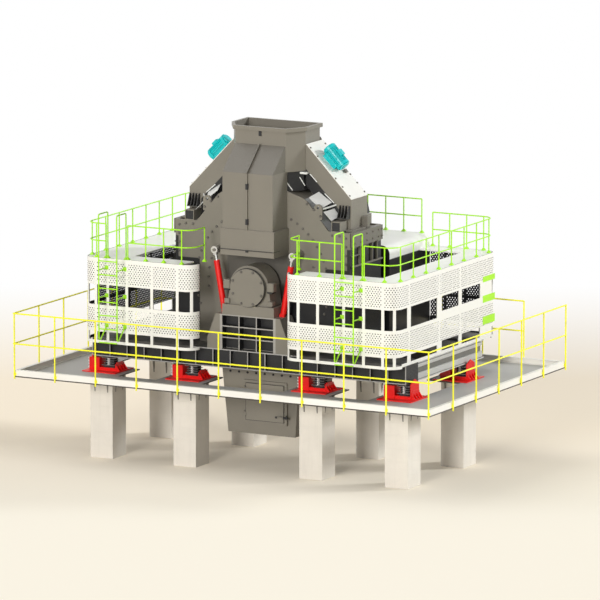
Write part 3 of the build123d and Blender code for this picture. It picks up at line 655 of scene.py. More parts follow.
def tread_plate(name, colour):
    """Deck plate with raised lozenges in a crossed pattern, scuffed bright on top, its steep faces painted
    dark as painted shade.
    """
    material, tree, shader = blank(name)
    spot = place_of(tree)
    ridges = []
    for turn in (45, -45):
        turned = node(tree, "Mapping", {"Vector": spot, "Rotation": (0, 0, math.radians(turn)),
                                        "Scale": (11.0, 30.0, 1.0)}).outputs[0]
        cells = node(tree, "TexVoronoi", {"Vector": turned, "Scale": 1.0, "Randomness": 0.0},
                     distance="EUCLIDEAN").outputs["Distance"]
        ridges.append(ramp(tree, cells, 0.34, 0.22))
    pattern = times(tree, ridges[0], ridges[1], "MAXIMUM")
    pattern = times(tree, pattern, upward_share(tree))
    trodden = patches(tree, spot, 0.9, 6.0)
    base = blend_colour(tree, trodden, shade(colour, 0.84), shade(colour, 1.04))
    base = blend_colour(tree, times(tree, pattern, 0.25), base, shade(colour, 1.35))
    # Painted shade: faces that are not level are painted near black.
    base = blend_colour(tree, upward_share(tree), screen(62, 57, 52), base)
    tree.links.new(base, shader.inputs["Base Color"])
    tree.links.new(between(tree, trodden, 0.42, 0.6), shader.inputs["Roughness"])
    emboss(tree, shader, pattern, 0.002, 0.8)
    return material


def moulded_rubber(name, colour):
    """Dark rubber in level layers, with a paler bloom."""
    material, tree, shader = blank(name)
    spot = place_of(tree)
    bloom = ramp(tree, cloud(tree, spot, 14.0, 5.0), 0.4, 0.8)
    base = blend_colour(tree, bloom, colour, shade(colour, 2.2))
    tree.links.new(base, shader.inputs["Base Color"])
    shader.inputs["Roughness"].default_value = 0.7
    layers = node(tree, "TexWave", {"Vector": spot, "Scale": 14.0}, bands_direction="Z")
    emboss(tree, shader, layers.outputs["Fac"], 0.004, 0.8)
    return material


def bare_metal(name, colour, roughness, scratch):
    """Metal with fine scratches up and down."""
    material, tree, shader = blank(name)
    lines = cloud(tree, stretched(tree, place_of(tree), 120.0, 120.0, 9.0), 1.0)
    base = blend_colour(tree, lines, shade(colour, 0.86), colour)
    tree.links.new(base, shader.inputs["Base Color"])
    shader.inputs["Metallic"].default_value = 1.0
    tree.links.new(between(tree, lines, roughness, roughness + scratch), shader.inputs["Roughness"])
    return material


def all_finishes():
    """Every finish of the machine, by name."""
    paint = colours()
    black = tuple(paint.frame_black)
    steel = tuple(paint.steel)
    # Near black, used as painted shade where places lie in shadow.
    unlit = screen(24, 24, 26)
    beyond = 9
    grille_levels = (2.55, 3.262)
    # Painted shade: body faces inside the guarded rooms at both ends, and on the right beyond x 0.62 below
    # 3.90 m, seen through the windows.
    rooms_painted_shade = ({"across": (1.47, beyond), "height": (0, guard_high.z - guard_sheet)}, unlit)
    front_room_painted_shade = ({"right": (0.62, beyond), "height": (0, 3.90)}, unlit)
    # Painted shade: the end walls above 4.70 m, and the ribs on them, are painted a darker grey.
    end_shaded_grey = shade(steel, 0.74)
    end_band_painted_shade = ({"across": (body_high.x - 0.002, beyond), "height": (4.70, beyond),
                 "soft": 0.002}, end_shaded_grey)
    # Painted shade on the body plates around the bearings, under the drive hood.
    bearing_painted_shade = ({"across": (0, 0.80), "height": (3.0, 4.515), "soft": 0.06},
                      screen(84, 81, 75))
    # Painted shade: the cells between the bearing stands' ribs are near black.
    stand_low, stand_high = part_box("bearing_stands")
    cells = [({"across": (0, 0.617), "along": limits, "height": grille_levels,
               "soft": 0.004}, unlit)
             for limits in ((stand_low.y + 0.01, machine_y), (machine_y, stand_high.y - 0.01))]
    # Painted highlight: the ribs' faces are painted lighter than the stand's steel.
    grille = ({"across": (0, 0.64), "height": grille_levels}, screen(160, 157, 152))
    # Painted shade on the drive hood's front face and on its faces inside the guards.
    hood_front_painted_shade = ({"along": (-beyond, hood_low.y + 0.006), "soft": 0.004}, unlit)
    hood_sides_painted_shade = ({"along": (-beyond, hood_high.y - 0.03),
                   "height": (0, guard_high.z - guard_sheet)}, unlit)
    # Painted shade on the ducts' sloping faces between 6.235 and 6.745 m.
    slope_painted_shade = ({"height": (6.235, 6.745)}, shade(steel, 0.72))
    # Painted shade in the recess along the end walls below 4.70 m.
    recess_painted_shade = ({"across": (body_high.x - 0.06, body_high.x + 0.02), "height": (0, 4.70)}, unlit)
    # Painted shade in the cavity under the rack covers, down their slope.
    racks_painted_shade = ({"across": (0, 1.60), "slope": (0, cover_underside)}, unlit)
    rack_seat = ({"across": (0.95, 1.62), "along": (body_low.y + 0.042, -0.9)},
                 screen(214, 216, 217))
    # Painted highlight: front faces of the black girders' flanges and stiffeners are painted light grey.
    flange_front_highlight = ({"along": (girder_front - 0.1, girder_front + 0.004)}, screen(162, 160, 158))
    # Painted highlight: the end beams' end faces are painted light grey.
    flange_end_highlight = ({"across": (beam_high.x - 0.004, beyond)}, screen(198, 197, 194))
    plate = {"roughness": 0.45, "edge": 0.008, "worn": shade(steel, 1.3)}
    return {
        "steel": painted("taupe_paint", steel, **plate),
        "housing": painted("housing_paint", steel, **plate,
                           zones=(bearing_painted_shade, end_band_painted_shade, rooms_painted_shade, front_room_painted_shade, recess_painted_shade, rack_seat)),
        "end_steel_shaded": painted("end_painted_shade", end_shaded_grey, 0.45, edge=0.008, worn=shade(steel, 1.1)),
        "stand": painted("stand_paint", steel, **plate, zones=(grille, *cells)),
        "hood": painted("hood_paint", screen(240, 239, 234), 0.36, 0.03, dust=0.0,
                        zones=(hood_front_painted_shade, hood_sides_painted_shade)),
        "roof": painted("roof_paint", screen(246, 245, 241), 0.4, 0.02, dust=0.02),
        "cover": painted("cover_paint", steel, **plate, zones=(racks_painted_shade,)),
        "duct": painted("duct_paint", steel, patch=0.035, zones=(slope_painted_shade,)),
        "inlet": painted("inlet_paint", steel, patch=0.035),
        "frame": painted("frame_paint", black, 0.5, 0.12, worn=screen(118, 114, 108), dust=0.35,
                         zones=(flange_front_highlight,)),
        "cap": painted("cap_paint", screen(122, 118, 112), 0.5, 0.08),
        "beam": painted("beam_paint", screen(112, 111, 106), 0.42, 0.06, zones=(flange_end_highlight,)),
        # Painted light: a lighter grey for the end beams' bars.
        "beam_bar_highlight": painted("beam_bar_highlight_paint", screen(192, 191, 188), 0.42, 0.04),
        "liner": painted("liner_paint", screen(232, 233, 232), 0.38, 0.04,
                         worn=screen(250, 250, 248)),
        "bright_bolt": painted("bright_bolt_paint", screen(226, 226, 224), 0.35, 0.05,
                               worn=screen(250, 250, 248)),
        "white": painted("white_gloss", screen(236, 234, 228), 0.36, 0.03,
                         worn=screen(206, 203, 196)),
        "lime": painted("lime_gloss", tuple(paint.lime), 0.34, 0.05, dust=0.0),
        "yellow": painted("yellow_gloss", tuple(paint.yellow), 0.34, 0.04, dust=0.0),
        "red": painted("red_gloss", tuple(paint.red), 0.34, 0.06, dust=0.06,
                       worn=screen(240, 70, 56)),
        "teal": painted("teal_gloss", tuple(paint.teal), 0.36, 0.06, dust=0.0,
                        worn=screen(20, 196, 198)),
        "guard": guard_coat_and_shade("guard_coat_and_shade", tuple(paint.guard_white), screen(26, 26, 28)),
        # Near black: own colour of joints, seams, bolts and grips, and painted shade on inner faces,
        # screens and tube ends.
        "dark_joints_and_shade": painted("dark_joints_and_shade", screen(30, 30, 32), 0.6, 0.1, dust=0.0),
        "concrete": cast_concrete("cast_concrete", tuple(paint.concrete)),
        "deck": tread_plate("tread_plate", tuple(paint.deck)),
        "rubber": moulded_rubber("moulded_rubber", screen(34, 33, 35)),
        "chrome": bare_metal("rod_chrome", screen(226, 226, 228), 0.16, 0.1),
        "zinc": bare_metal("zinc_plate", screen(188, 188, 186), 0.34, 0.2),
        "bolt": painted("bolt_paint", screen(96, 92, 86), 0.4, 0.08, edge=0.004),
    }


finishes = {}

node_finishes = {
    "concrete": ("support_columns",),
    "cap": ("column_caps", "guard_floors"),
    "deck": ("walkway_deck",),
    "white": ("edge_channel", "rack_top_sheets"),
    "hood": ("drive_hood",),
    "roof": ("roof_decks",),
    "stand": ("bearing_stands",),
    "inlet": ("inlet_chute",),
    "yellow": ("front_handrail", "back_handrail", "left_handrail", "right_handrail"),
    "red": ("isolator_seats", "cylinder_barrels"),
    "rubber": ("isolator_springs",),
    "frame": ("base_front_girder", "base_back_girder", "base_inner_beams", "feed_throat",
              "rack_brackets"),
    "beam": ("base_end_beams",),
    "steel": ("discharge_chute", "chute_door", "spring_tubes", "bearing_housings", "cylinder_pins"),
    "housing": ("body_core", "body_front_plate", "body_back_plate", "body_end_walls"),
    "cover": ("rack_covers",),
    "duct": ("front_air_duct", "back_air_duct"),
    "teal": ("vibrator_motors",),
    "chrome": ("cylinder_rods",),
    "lime": ("front_roof_rails", "end_roof_rails", "back_roof_rails", "ladders"),
    "guard": ("front_guards", "back_guards", "end_guards"),
}


class CRUSHER_OT_stage(bpy.types.Operator):
    """Sets up the pale floor, the soft light and the camera"""
    bl_idname = "crusher.stage"
    bl_label = "Stage"

    azimuth = 27.944
    elevation = 9.8836
    distance = 150.0
    target = Vector((2.774, -4.818, 4.286))
    sensor_width = 36.0
    focal_length = 451.04
    clip_start, clip_end = 1.0, 3000.0
    floor_half = 900.0
    lamp_distance = 40

    def direction(self, azimuth, elevation):
        """From the machine towards a place seen at these angles, in degrees."""
        turn, lift = math.radians(azimuth), math.radians(elevation)
        return Vector((math.sin(turn) * math.cos(lift), -math.cos(turn) * math.cos(lift),
                       math.sin(lift)))

    def add_camera(self):
        """The camera that stands where the machine is seen from, far off."""
        only()
        back = self.direction(self.azimuth, self.elevation)
        bpy.ops.object.camera_add(location=self.target + back * self.distance)
        camera = bpy.context.object
        camera.rotation_euler = (-back).to_track_quat("-Z", "Y").to_euler()
        camera.data.sensor_width = self.sensor_width
        camera.data.lens = self.focal_length
        camera.data.clip_start = self.clip_start
        camera.data.clip_end = self.clip_end
        bpy.context.scene.camera = camera

    def add_floor(self):
        """The cream floor, which fades to white far behind the machine, with painted shade in tan around
        it and a glow, painted light, in front.
        """
        only()
        bpy.ops.mesh.primitive_plane_add(size=2 * self.floor_half, location=(0, 0, -0.002))
        floor = bpy.context.object
        floor.name = "pale_floor"
        material, tree, shader = blank("pale_floor")
        spot = place_of(tree)
        turn = math.radians(self.azimuth)
        away = node(tree, "VectorMath", {0: spot, 1: (-math.sin(turn), math.cos(turn), 0.0)},
                    operation="DOT_PRODUCT").outputs["Value"]
        # Painted shade: the floor is tan around and behind the machine and pale cream nearer the camera.
        near = ramp(tree, away, 3.0, -6.0)
        cream = blend_colour(tree, near, screen(250, 237, 216), screen(254, 247, 231))
        tree.links.new(cream, shader.inputs["Base Color"])
        shader.inputs["Roughness"].default_value = 0.9
        shader.inputs["Specular IOR Level"].default_value = 0.1
        far = ramp(tree, away, 9.0, 21.0)
        glow = node(tree, "Emission", {"Color": (1, 1, 1, 1), "Strength": 1.0})
        seen = seen_directly(tree)
        # Painted light: a cream glow, seen only directly, lifts the floor's shadows, most in front where y
        # is below -3.2 and least behind -1.4.
        painted_light_glow = node(tree, "Emission", {"Color": cream, "Strength": 0.98})
        along = node(tree, "SeparateXYZ", {0: spot}).outputs[1]
        lift = between(tree, ramp(tree, along, -1.4, -3.2), 0.15, 0.6)
        lit = node(tree, "MixShader", {0: times(tree, seen, lift), 1: shader.outputs[0],
                                       2: painted_light_glow.outputs[0]})
        whole = node(tree, "MixShader", {0: times(tree, far, seen), 1: lit.outputs[0],
                                         2: glow.outputs[0]})
        output = next(one for one in tree.nodes if one.bl_idname == "ShaderNodeOutputMaterial")
        tree.links.new(whole.outputs[0], output.inputs["Surface"])
        floor.data.materials.append(material)

    def add_lamp(self, name, azimuth, elevation, strength, softness, tint):
        """A lamp from one side; softness is its width in the sky, in degrees."""
        only()
        way = self.direction(azimuth, elevation)
        bpy.ops.object.light_add(type="SUN", location=way * self.lamp_distance)
        lamp = bpy.context.object
        lamp.name = name
        lamp.rotation_euler = (-way).to_track_quat("-Z", "Y").to_euler()
        lamp.data.energy = strength
        lamp.data.angle = math.radians(softness)
        lamp.data.color = tint

    def add_world(self):
        """A dim room to light the machine and a white backdrop to see behind it."""
        world = bpy.data.worlds.new("studio")
        bpy.context.scene.world = world
        world.use_nodes = True
        tree = world.node_tree
        tree.nodes.clear()
        room = node(tree, "Background", {"Color": (0.98, 0.99, 1.0, 1), "Strength": 0.35})
        backdrop = node(tree, "Background", {"Color": (1, 1, 1, 1), "Strength": 1.0})
        both = node(tree, "MixShader", {0: seen_directly(tree), 1: room.outputs[0],
                                        2: backdrop.outputs[0]})
        node(tree, "OutputWorld", {"Surface": both.outputs[0]})

    def execute(self, context):
        context.scene.view_settings.view_transform = "Standard"
        self.add_camera()
        self.add_floor()
        self.add_lamp("key_light", 4.0, 14.0, 1.95, 18.0, (1.0, 0.98, 0.95))
        self.add_lamp("side_light", 130.0, 22.0, 2.3, 12.0, (0.96, 0.985, 1.0))
        self.add_lamp("fill_light", -100.0, 55.0, 0.75, 40.0, (1.0, 0.99, 0.97))
        self.add_world()
        return {"FINISHED"}


class CRUSHER_OT_finishes(bpy.types.Operator):
    """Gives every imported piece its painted, cast or bare finish"""
    bl_idname = "crusher.finishes"
    bl_label = "Finishes"

    def execute(self, context):
        finishes.update(all_finishes())
        for finish, names in node_finishes.items():
            for name in names:
                piece = frame["nodes"][name]
                piece.data.materials.clear()
                piece.data.materials.append(finishes[finish])
        bare = [name for name, piece in frame["nodes"].items() if not piece.data.materials]
        if bare:
            raise RuntimeError(f"pieces without a finish: {bare}")
        return {"FINISHED"}


class CRUSHER_OT_guard_sheets(bpy.types.Operator):
    """Cuts the guards into plain rims and thin sheets with staggered holes"""
    bl_idname = "crusher.guard_sheets"
    bl_label = "Guard sheets"

    lower_band = 2.812
    upper_band = 3.775
    strip_proud = 0.0015
    strip_width = 0.052

    def guard_line(self):
        """Curve along the outer face of the right end's guards, from body to drive hood."""
        inner, outer = guard_inner, guard_high.x
        front, back = guard_front, guard_back
        bend = guard_corner
        corners = (((inner, front + bend), (inner + bend, front)),
                   ((outer - bend, front), (outer, front + bend)),
                   ((outer, back - bend), (outer - bend, back)))
        knots = [knot for corner in corners for knot in corner] + [(hood_high.x + 0.001, back)]
        ways = ((0, -1), (1, 0), (1, 0), (0, 1), (0, 1), (-1, 0), (-1, 0))
        only()
        bpy.ops.curve.primitive_bezier_curve_add(location=(0, 0, 0))
        line = bpy.context.object
        line.data.dimensions = "2D"
        line.data.resolution_u = 32
        spline = line.data.splines[0]
        spline.bezier_points.add(len(knots) - len(spline.bezier_points))
        bow = 4 / 3 * math.tan(math.pi / 8) * bend
        length = 0.0
        for number, (knot, way) in enumerate(zip(knots, ways)):
            point = spline.bezier_points[number]
            point.handle_left_type = point.handle_right_type = "FREE"
            here, along = Vector((*knot, 0)), Vector((*way, 0))
            rounded = number % 2 == 0 and number + 1 < len(knots)
            following = Vector((*knots[number + 1], 0)) if number + 1 < len(knots) else here
            before = Vector((*knots[number - 1], 0)) if number else here
            leave = bow if rounded else (following - here).length / 3
            arrive = bow if number % 2 else (here - before).length / 3
            point.co = here
            point.handle_right = here + along * leave
            point.handle_left = here - along * arrive
            length += bend * math.pi / 2 if rounded else (following - here).length
        return line, length

    def band(self, level):
        """A perforated band of the right end, standing at a level."""
        line, length = self.guard_line()
        count = round(length / sizes().hole_pitch)
        sheet = perforated_sheet(length / count, count, level, sizes().double_rows)
        apply_modifier(sheet, "CURVE", object=line, deform_axis="POS_X")
        bpy.data.objects.remove(line)
        return sheet

    def rim(self, node_name, low, high):
        """The plain part of a guard between two levels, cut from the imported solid."""
        piece = duplicate(frame["nodes"][node_name])
        piece.parent = None
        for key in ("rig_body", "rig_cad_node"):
            if key in piece:
                del piece[key]
        enter_edit(piece)
        bpy.ops.mesh.remove_doubles(threshold=0.00005)
        for level, way, cuts in ((high, 1, high < guard_high.z), (low, -1, low > guard_low.z)):
            if cuts:
                bpy.ops.mesh.select_all(action="SELECT")
                bpy.ops.mesh.bisect(plane_co=(0, 0, level), plane_no=(0, 0, way), use_fill=True,
                                    clear_outer=True)
        leave_edit()
        return piece

    def strips(self, low, high):
        """Plain uprights across a perforated band, one behind each post."""
        front, back = guard_front, guard_back
        half = self.strip_width / 2
        proud = self.strip_proud
        corners = []
        for at in right_posts + left_posts:
            corners.append((at - half, at + half, front - proud, front + guard_sheet))
            if abs(at) > hood_high.x + half:
                corners.append((at - half, at + half, back - guard_sheet, back + proud))
        for near, far in end_posts[:-1]:
            middle = (near + far) / 2
            for side in (-1, 1):
                faces = right_or_left(side, guard_high.x - guard_sheet, guard_high.x + proud)
                corners.append((*faces, middle - half, middle + half))
        return [slab((x0, y0, low), (x1, y1, high), 0.003) for x0, x1, y0, y1 in corners]

    def execute(self, context):
        height = 2 * sizes().row_pitch * sizes().double_rows
        levels = (self.lower_band, self.upper_band)
        for label, level in zip(("lower", "upper"), levels):
            right = self.band(level)
            left = face_outwards(mirrored_x(right))
            for end, sheet in (("right", right), ("left", left)):
                keep(sheet, f"{end}_{label}_perforated_band", "guard_white",
                     finishes["guard"], finishes["dark_joints_and_shade"])
        strips = [one for level in levels for one in self.strips(level, level + height)]
        keep(join(strips), "guard_uprights", "guard_white", finishes["guard"])
        edges = ((guard_low.z, levels[0]), (levels[0] + height, levels[1]),
                 (levels[1] + height, guard_high.z))
        for node_name in ("front_guards", "end_guards", "back_guards"):
            rims = join([self.rim(node_name, low, high) for low, high in edges])
            keep(rims, node_name.replace("guards", "guard_rims"), "guard_white", finishes["guard"])
            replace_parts(rims, node_name)
        return {"FINISHED"}


class CRUSHER_OT_walkway_rails(bpy.types.Operator):
    """Runs round yellow rails along the walkway, on posts clamped to its edge channel"""
    bl_idname = "crusher.walkway_rails"
    bl_label = "Walkway rails"

    bays = 10
    side_pitch = 1.037
    post_foot = 1.754
    mid_rail = 2.492
    clamp_face = 0.021

    def post(self, radius, top):
        """A post at the origin with its clamp plate and bolts towards +Y."""
        plate_low = deck_top + 0.012
        clamp_back = radius - 0.004
        tube = rod((0, 0, self.post_foot), (0, 0, top), radius, 10)
        plate = slab((-0.032, clamp_back, plate_low), (0.032, self.clamp_face, plate_low + 0.06),
                     0.002)
        bolt = hex_bolt(0.016, 0.009)
        spots = [facing((x, clamp_back, plate_low + 0.03), (0, -1, 0)) for x in (-0.022, 0.022)]
        return join([tube, plate, copies(bolt, spots)])

    def run(self, start, end, posts, turn, side):
        """The rails of one side from start to end, with posts that clamp towards a turn."""
        radius = sizes().rail_diameter / 2
        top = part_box("front_handrail")[1].z - radius
        rails = [tube_run([(*start, level), (*end, level)], radius)
                 for level in (self.mid_rail, top)]
        stand = Matrix.Rotation(math.radians(turn), 4, "Z")
        posts = copies(self.post(radius, top),
                       [Matrix.Translation((x, y, 0)) @ stand for x, y in posts])
        piece = keep(join(rails + [posts]), f"{side}_walkway_rail", "yellow_paint",
                     finishes["yellow"])
        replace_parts(piece, f"{side}_handrail")

    def execute(self, context):
        low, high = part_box("front_handrail")
        y = (low.y + high.y) / 2
        x = sum(end.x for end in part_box("right_handrail")) / 2
        half = x - self.clamp_face
        last = -y - self.clamp_face
        along = spread(-half, half, 2 * half / self.bays)
        across = spread(y + self.clamp_face, last, self.side_pitch)[1:-1]
        self.run((-x, y), (x, y), [(at, y) for at in along], 0, "front")
        self.run((along[-2], -y), (-x, -y), [(at, -y) for at in along[:-1]], 180, "back")
        self.run((x, y), (x, -y), [(x, at) for at in (*across, last)], 90, "right")
        self.run((-x, -y), (-x, y), [(-x, at) for at in across], -90, "left")
        return {"FINISHED"}


class CRUSHER_OT_roof_rails(bpy.types.Operator):
    """Bends round lime rails round the guards' roofs, on posts with foot plates"""
    bl_idname = "crusher.roof_rails"
    bl_label = "Roof rails"

    radius = 0.0135
    inset = 0.060
    bend = 0.240
    mid_level = 0.350
    top_level = 0.711
    pitch = 0.445
    end_pitch = 0.57
    inner_corner = 1.100
    return_end = -1.700
    ladder_half = 0.255

    def stand(self, spots, level):
        """Posts with their foot plates at these places on a roof."""
        post = rod((0, 0, 0), (0, 0, self.top_level), self.radius, 8)
        return copies(join([post, foot_plate()]),
                      [Matrix.Translation((x, y, level)) for x, y in spots])

    def rails(self, stops, level):
        """The middle and the top rail along these places above a roof."""
        return [tube_run([(x, y, level + up) for x, y in stops], self.radius, self.bend)
                for up in (self.mid_level, self.top_level)]

    def execute(self, context):
        roof = guard_high.z
        front, back = guard_front + self.inset, guard_back - self.inset
        outer = guard_high.x - self.inset
        inner = self.inner_corner
        low, high = front + self.bend, back - self.bend
        bent = outer - self.bend
        first = hood_high.x + 0.076
        front_pieces, end_pieces, back_pieces = [], [], []
        for side, ladder_x in zip((1, -1), ladder_places):
            near, far = abs(ladder_x) - self.ladder_half, abs(ladder_x) + self.ladder_half
            starts = spread(inner + self.bend, near, self.pitch)
            ends = spread(far, bent, self.pitch)
            posts = [(side * x, front) for x in starts + ends] + [(side * inner, self.return_end)]
            front_pieces += self.rails([(side * near, front), (side * inner, front),
                                        (side * inner, self.return_end)], roof)
            front_pieces += self.rails([(side * far, front), (side * outer, front),
                                        (side * outer, low)], roof)
            front_pieces.append(self.stand(posts, roof))
            end_pieces += self.rails([(side * outer, low), (side * outer, high)], roof)
            posts = [(side * outer, y) for y in spread(low, high, self.end_pitch)]
            end_pieces.append(self.stand(posts, roof))
            back_pieces += self.rails([(side * first, back), (side * outer, back),
                                       (side * outer, high)], roof)
            posts = [(side * x, back) for x in spread(first, bent, self.pitch)]
            back_pieces.append(self.stand(posts, roof))
        end = hood_high.x - 0.180
        back_pieces += self.rails([(-end, back), (end, back)], hood_high.z)
        posts = [(x, back) for x in spread(-end, end, self.pitch)]
        back_pieces.append(self.stand(posts, hood_high.z))
        for side, pieces in (("front", front_pieces), ("end", end_pieces), ("back", back_pieces)):
            piece = keep(join(pieces), f"{side}_roof_tubes", "lime_paint", finishes["lime"])
            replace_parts(piece, f"{side}_roof_rails")
        return {"FINISHED"}


class CRUSHER_OT_ladders(bpy.types.Operator):
    """Builds the two round-bar ladders with their hoops and brackets"""
    bl_idname = "crusher.ladders"
    bl_label = "Ladders"

    radius = 0.0145
    half = 0.214
    bend = 0.045
    standoff = 0.330
    rung_pitch = 0.29
    bracket_levels = (4.100, 3.520)
    strut_level = 2.890

    def execute(self, context):
        front = guard_front
        landing = front + 0.06
        roof = guard_high.z
        low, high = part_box("ladders")
        y = front - self.standoff
        foot, top = low.z + self.radius, high.z - self.radius
        sides = (-self.half, self.half)
        pieces = []
        for x in sides:
            stops = [(x, front, self.strut_level), (x, y, foot), (x, y, top), (x, landing, top),
                     (x, landing, roof)]
            pieces.append(tube_run(stops, self.radius, self.bend))
            for level in self.bracket_levels:
                pieces.append(rod((x, y, level), (x, front, level), self.radius, 8))
        for level in spread(foot + self.radius, roof, self.rung_pitch):
            pieces.append(rod((-self.half, y, level), (self.half, y, level), self.radius * 0.9, 8))
        seats = [facing((x, front, level), (0, -1, 0))
                 for x in sides for level in (*self.bracket_levels, self.strut_level)]
        pieces.append(copies(foot_plate(), seats))
        seats = [Matrix.Translation((x, landing, roof)) for x in sides]
        pieces.append(copies(foot_plate(), seats))
        both = copies(join(pieces), [Matrix.Translation((x, 0, 0)) for x in ladder_places])
        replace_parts(keep(both, "bar_ladders", "lime_paint", finishes["lime"]), "ladders")
        return {"FINISHED"}


class CRUSHER_OT_guard_trim(bpy.types.Operator):
    """Adds the lime panels of the end guards, and dark screens inside the left one and the back guards, as
    painted shade
    """
    bl_idname = "crusher.guard_trim"
    bl_label = "Guard trim"

    panel_y = (1.610, 2.163)
    panel_levels = ((2.842, 3.010), (3.304, 3.451), (3.734, 3.850))

    def execute(self, context):
        outer = guard_high.x
        near, far = self.panel_y
        panels = []
        for low, high in self.panel_levels:
            for side in (-1, 1):
                x0, x1 = right_or_left(side, outer + 0.001, outer + 0.005)
                panels.append(slab((x0, near, low), (x1, far, high), 0.0015))
        keep(join(panels), "lime_panels", "lime_paint", finishes["lime"])
        # The screens are painted shade: all dark, standing just inside the guards' windows.
        pitch = sizes().hole_pitch
        level = window_bottom - 0.02
        first, last = end_posts[0][1], end_posts[3][0]
        side_screen = perforated_sheet(pitch, round((last - first) / pitch), level, 6)
        turn = Matrix.Rotation(math.radians(-90), 4, "Z")
        place = Matrix.Translation((-(outer - guard_sheet - 0.008), last, 0)) @ turn
        side_screen = copies(side_screen, [place])
        start = hood_high.x + 0.02
        count = round((outer - guard_corner - start) / pitch)
        back_screen = perforated_sheet(pitch, count, level, 5)
        places = [Matrix.Translation((x, guard_back - guard_sheet - 0.012, 0))
                  for x in (start, -start - count * pitch)]
        screens = join([side_screen, copies(back_screen, places)])
        keep(screens, "window_shade_screens", "guard_white", finishes["dark_joints_and_shade"])
        return {"FINISHED"}


class CRUSHER_OT_rack_openings(bpy.types.Operator):
    """Adds the bright liner edges and bars in the openings under the rack covers"""
    bl_idname = "crusher.rack_openings"
    bl_label = "Rack openings"

    liner_edges = (((0.546, -1.215, 6.003), (0.640, -1.120, 5.825)),
                   ((0.742, -1.000, 6.085), (0.812, -0.905, 5.905)),
                   ((0.934, -0.912, 6.153), (1.096, -0.912, 6.000)),
                   ((1.275, -0.912, 5.775), (1.489, -0.912, 5.594)))
    bar = ((1.339, -1.225, 5.484), (1.540, -0.915, 5.556))
    seat_panels = (((1.060, -1.200, 5.715), (1.330, -1.200, 5.500), (1.440, -0.915, 5.600),
                    (1.140, -0.915, 5.800)),
                   ((1.400, -1.200, 5.440), (1.580, -1.200, 5.270), (1.620, -0.915, 5.330),
                    (1.500, -0.915, 5.480)))
    tube_wall = 0.015
    tube_bore = 0.180

    def execute(self, context):
        pieces = [rod(start, end, 0.011, 6) for start, end in self.liner_edges]
        pieces.append(rod(*self.bar, 0.018, 6))
        pieces.append(slab((0.700, -0.985, 6.150), (0.900, -0.905, 6.195), 0.006))
        pieces += [panel(corners, 0.006) for corners in self.seat_panels]
        keep(both_ends(join(pieces)), "liner_edges", "white_paint", finishes["liner"])
        # Dark plugs set just inside the spring tubes' ends are painted shade in their bores.
        low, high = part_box("spring_tubes")
        wall, bore = self.tube_wall, self.tube_wall + self.tube_bore
        plugs = []
        for side in (-1, 1):
            x0, x1 = right_or_left(side, high.x - bore, high.x - wall)
            for front, back in ((low.y + wall, low.y + 2 * wall),
                                (high.y - 2 * wall, high.y - wall)):
                plugs.append(slab((x0, front, high.z - bore), (x1, back, high.z - wall)))
        keep(join(plugs), "spring_tube_ends", "frame_black", finishes["dark_joints_and_shade"])
        return {"FINISHED"}


class CRUSHER_OT_body_bolts(bpy.types.Operator):
    """Puts the bolts and seams on the crusher's body and ducts"""
    bl_idname = "crusher.body_bolts"
    bl_label = "Body bolts"

    rings = ((1.535, range(26, 112, 6)), (2.015, (31, 36.5, 42)), (1.26, (70, 79, 88, 97)))
    column_levels = (4.40, 4.58, 4.76, 4.94)
    shoulder_bolts = (1.62, 1.79)

    def plate_spots(self):
        """Places of the bolts on a side plate, as x and z."""
        spots = []
        for side in (-1, 1):
            for radius, turns in self.rings:
                for angle in map(math.radians, turns):
                    spots.append((side * radius * math.sin(angle),
                                  rotor_z + radius * math.cos(angle)))
            spots += [(side * (body_high.x - 0.09), z) for z in self.column_levels]
            spots += [(side * x, body_shoulder - 0.075) for x in self.shoulder_bolts]
        return spots

    def execute(self, context):
        bolts = []
        width = sizes().bolt_width
        for y, way in ((body_low.y, -1), (body_back, 1)):
            places = [facing((x, y, z), (0, way, 0)) for x, z in self.plate_spots()]
            bolts.append(copies(hex_bolt(width, 0.024), places))
        keep(join(bolts), "side_plate_bolts", "body_grey", finishes["bolt"])
        duct_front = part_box("front_air_duct")[0].y
        hood_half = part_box("front_air_duct")[1].x + 0.002
        strips = ((hood_half, -0.002, 0.30, 4.632, 4.641), (0.026, -0.002, 0.05, 5.90, 6.02),
                  (0.026, -0.002, 0.05, 5.17, 5.29), (0.03, -0.004, 0.02, 4.60, 4.645))
        seams = []
        for mirror in (1, -1):
            for half, front, back, low, high in strips:
                y0, y1 = sorted(machine_y + mirror * (duct_front + reach - machine_y)
                                for reach in (front, back))
                seams.append(slab((-half, y0, low), (half, y1, high), 0.002))
        inlet_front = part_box("inlet_chute")[0].y
        seams.append(slab((-0.03, inlet_front + 0.02, 6.93), (0.03, inlet_front + 0.05, 7.03),
                          0.004))
        keep(join(seams), "duct_seams", "frame_black", finishes["dark_joints_and_shade"])
        return {"FINISHED"}


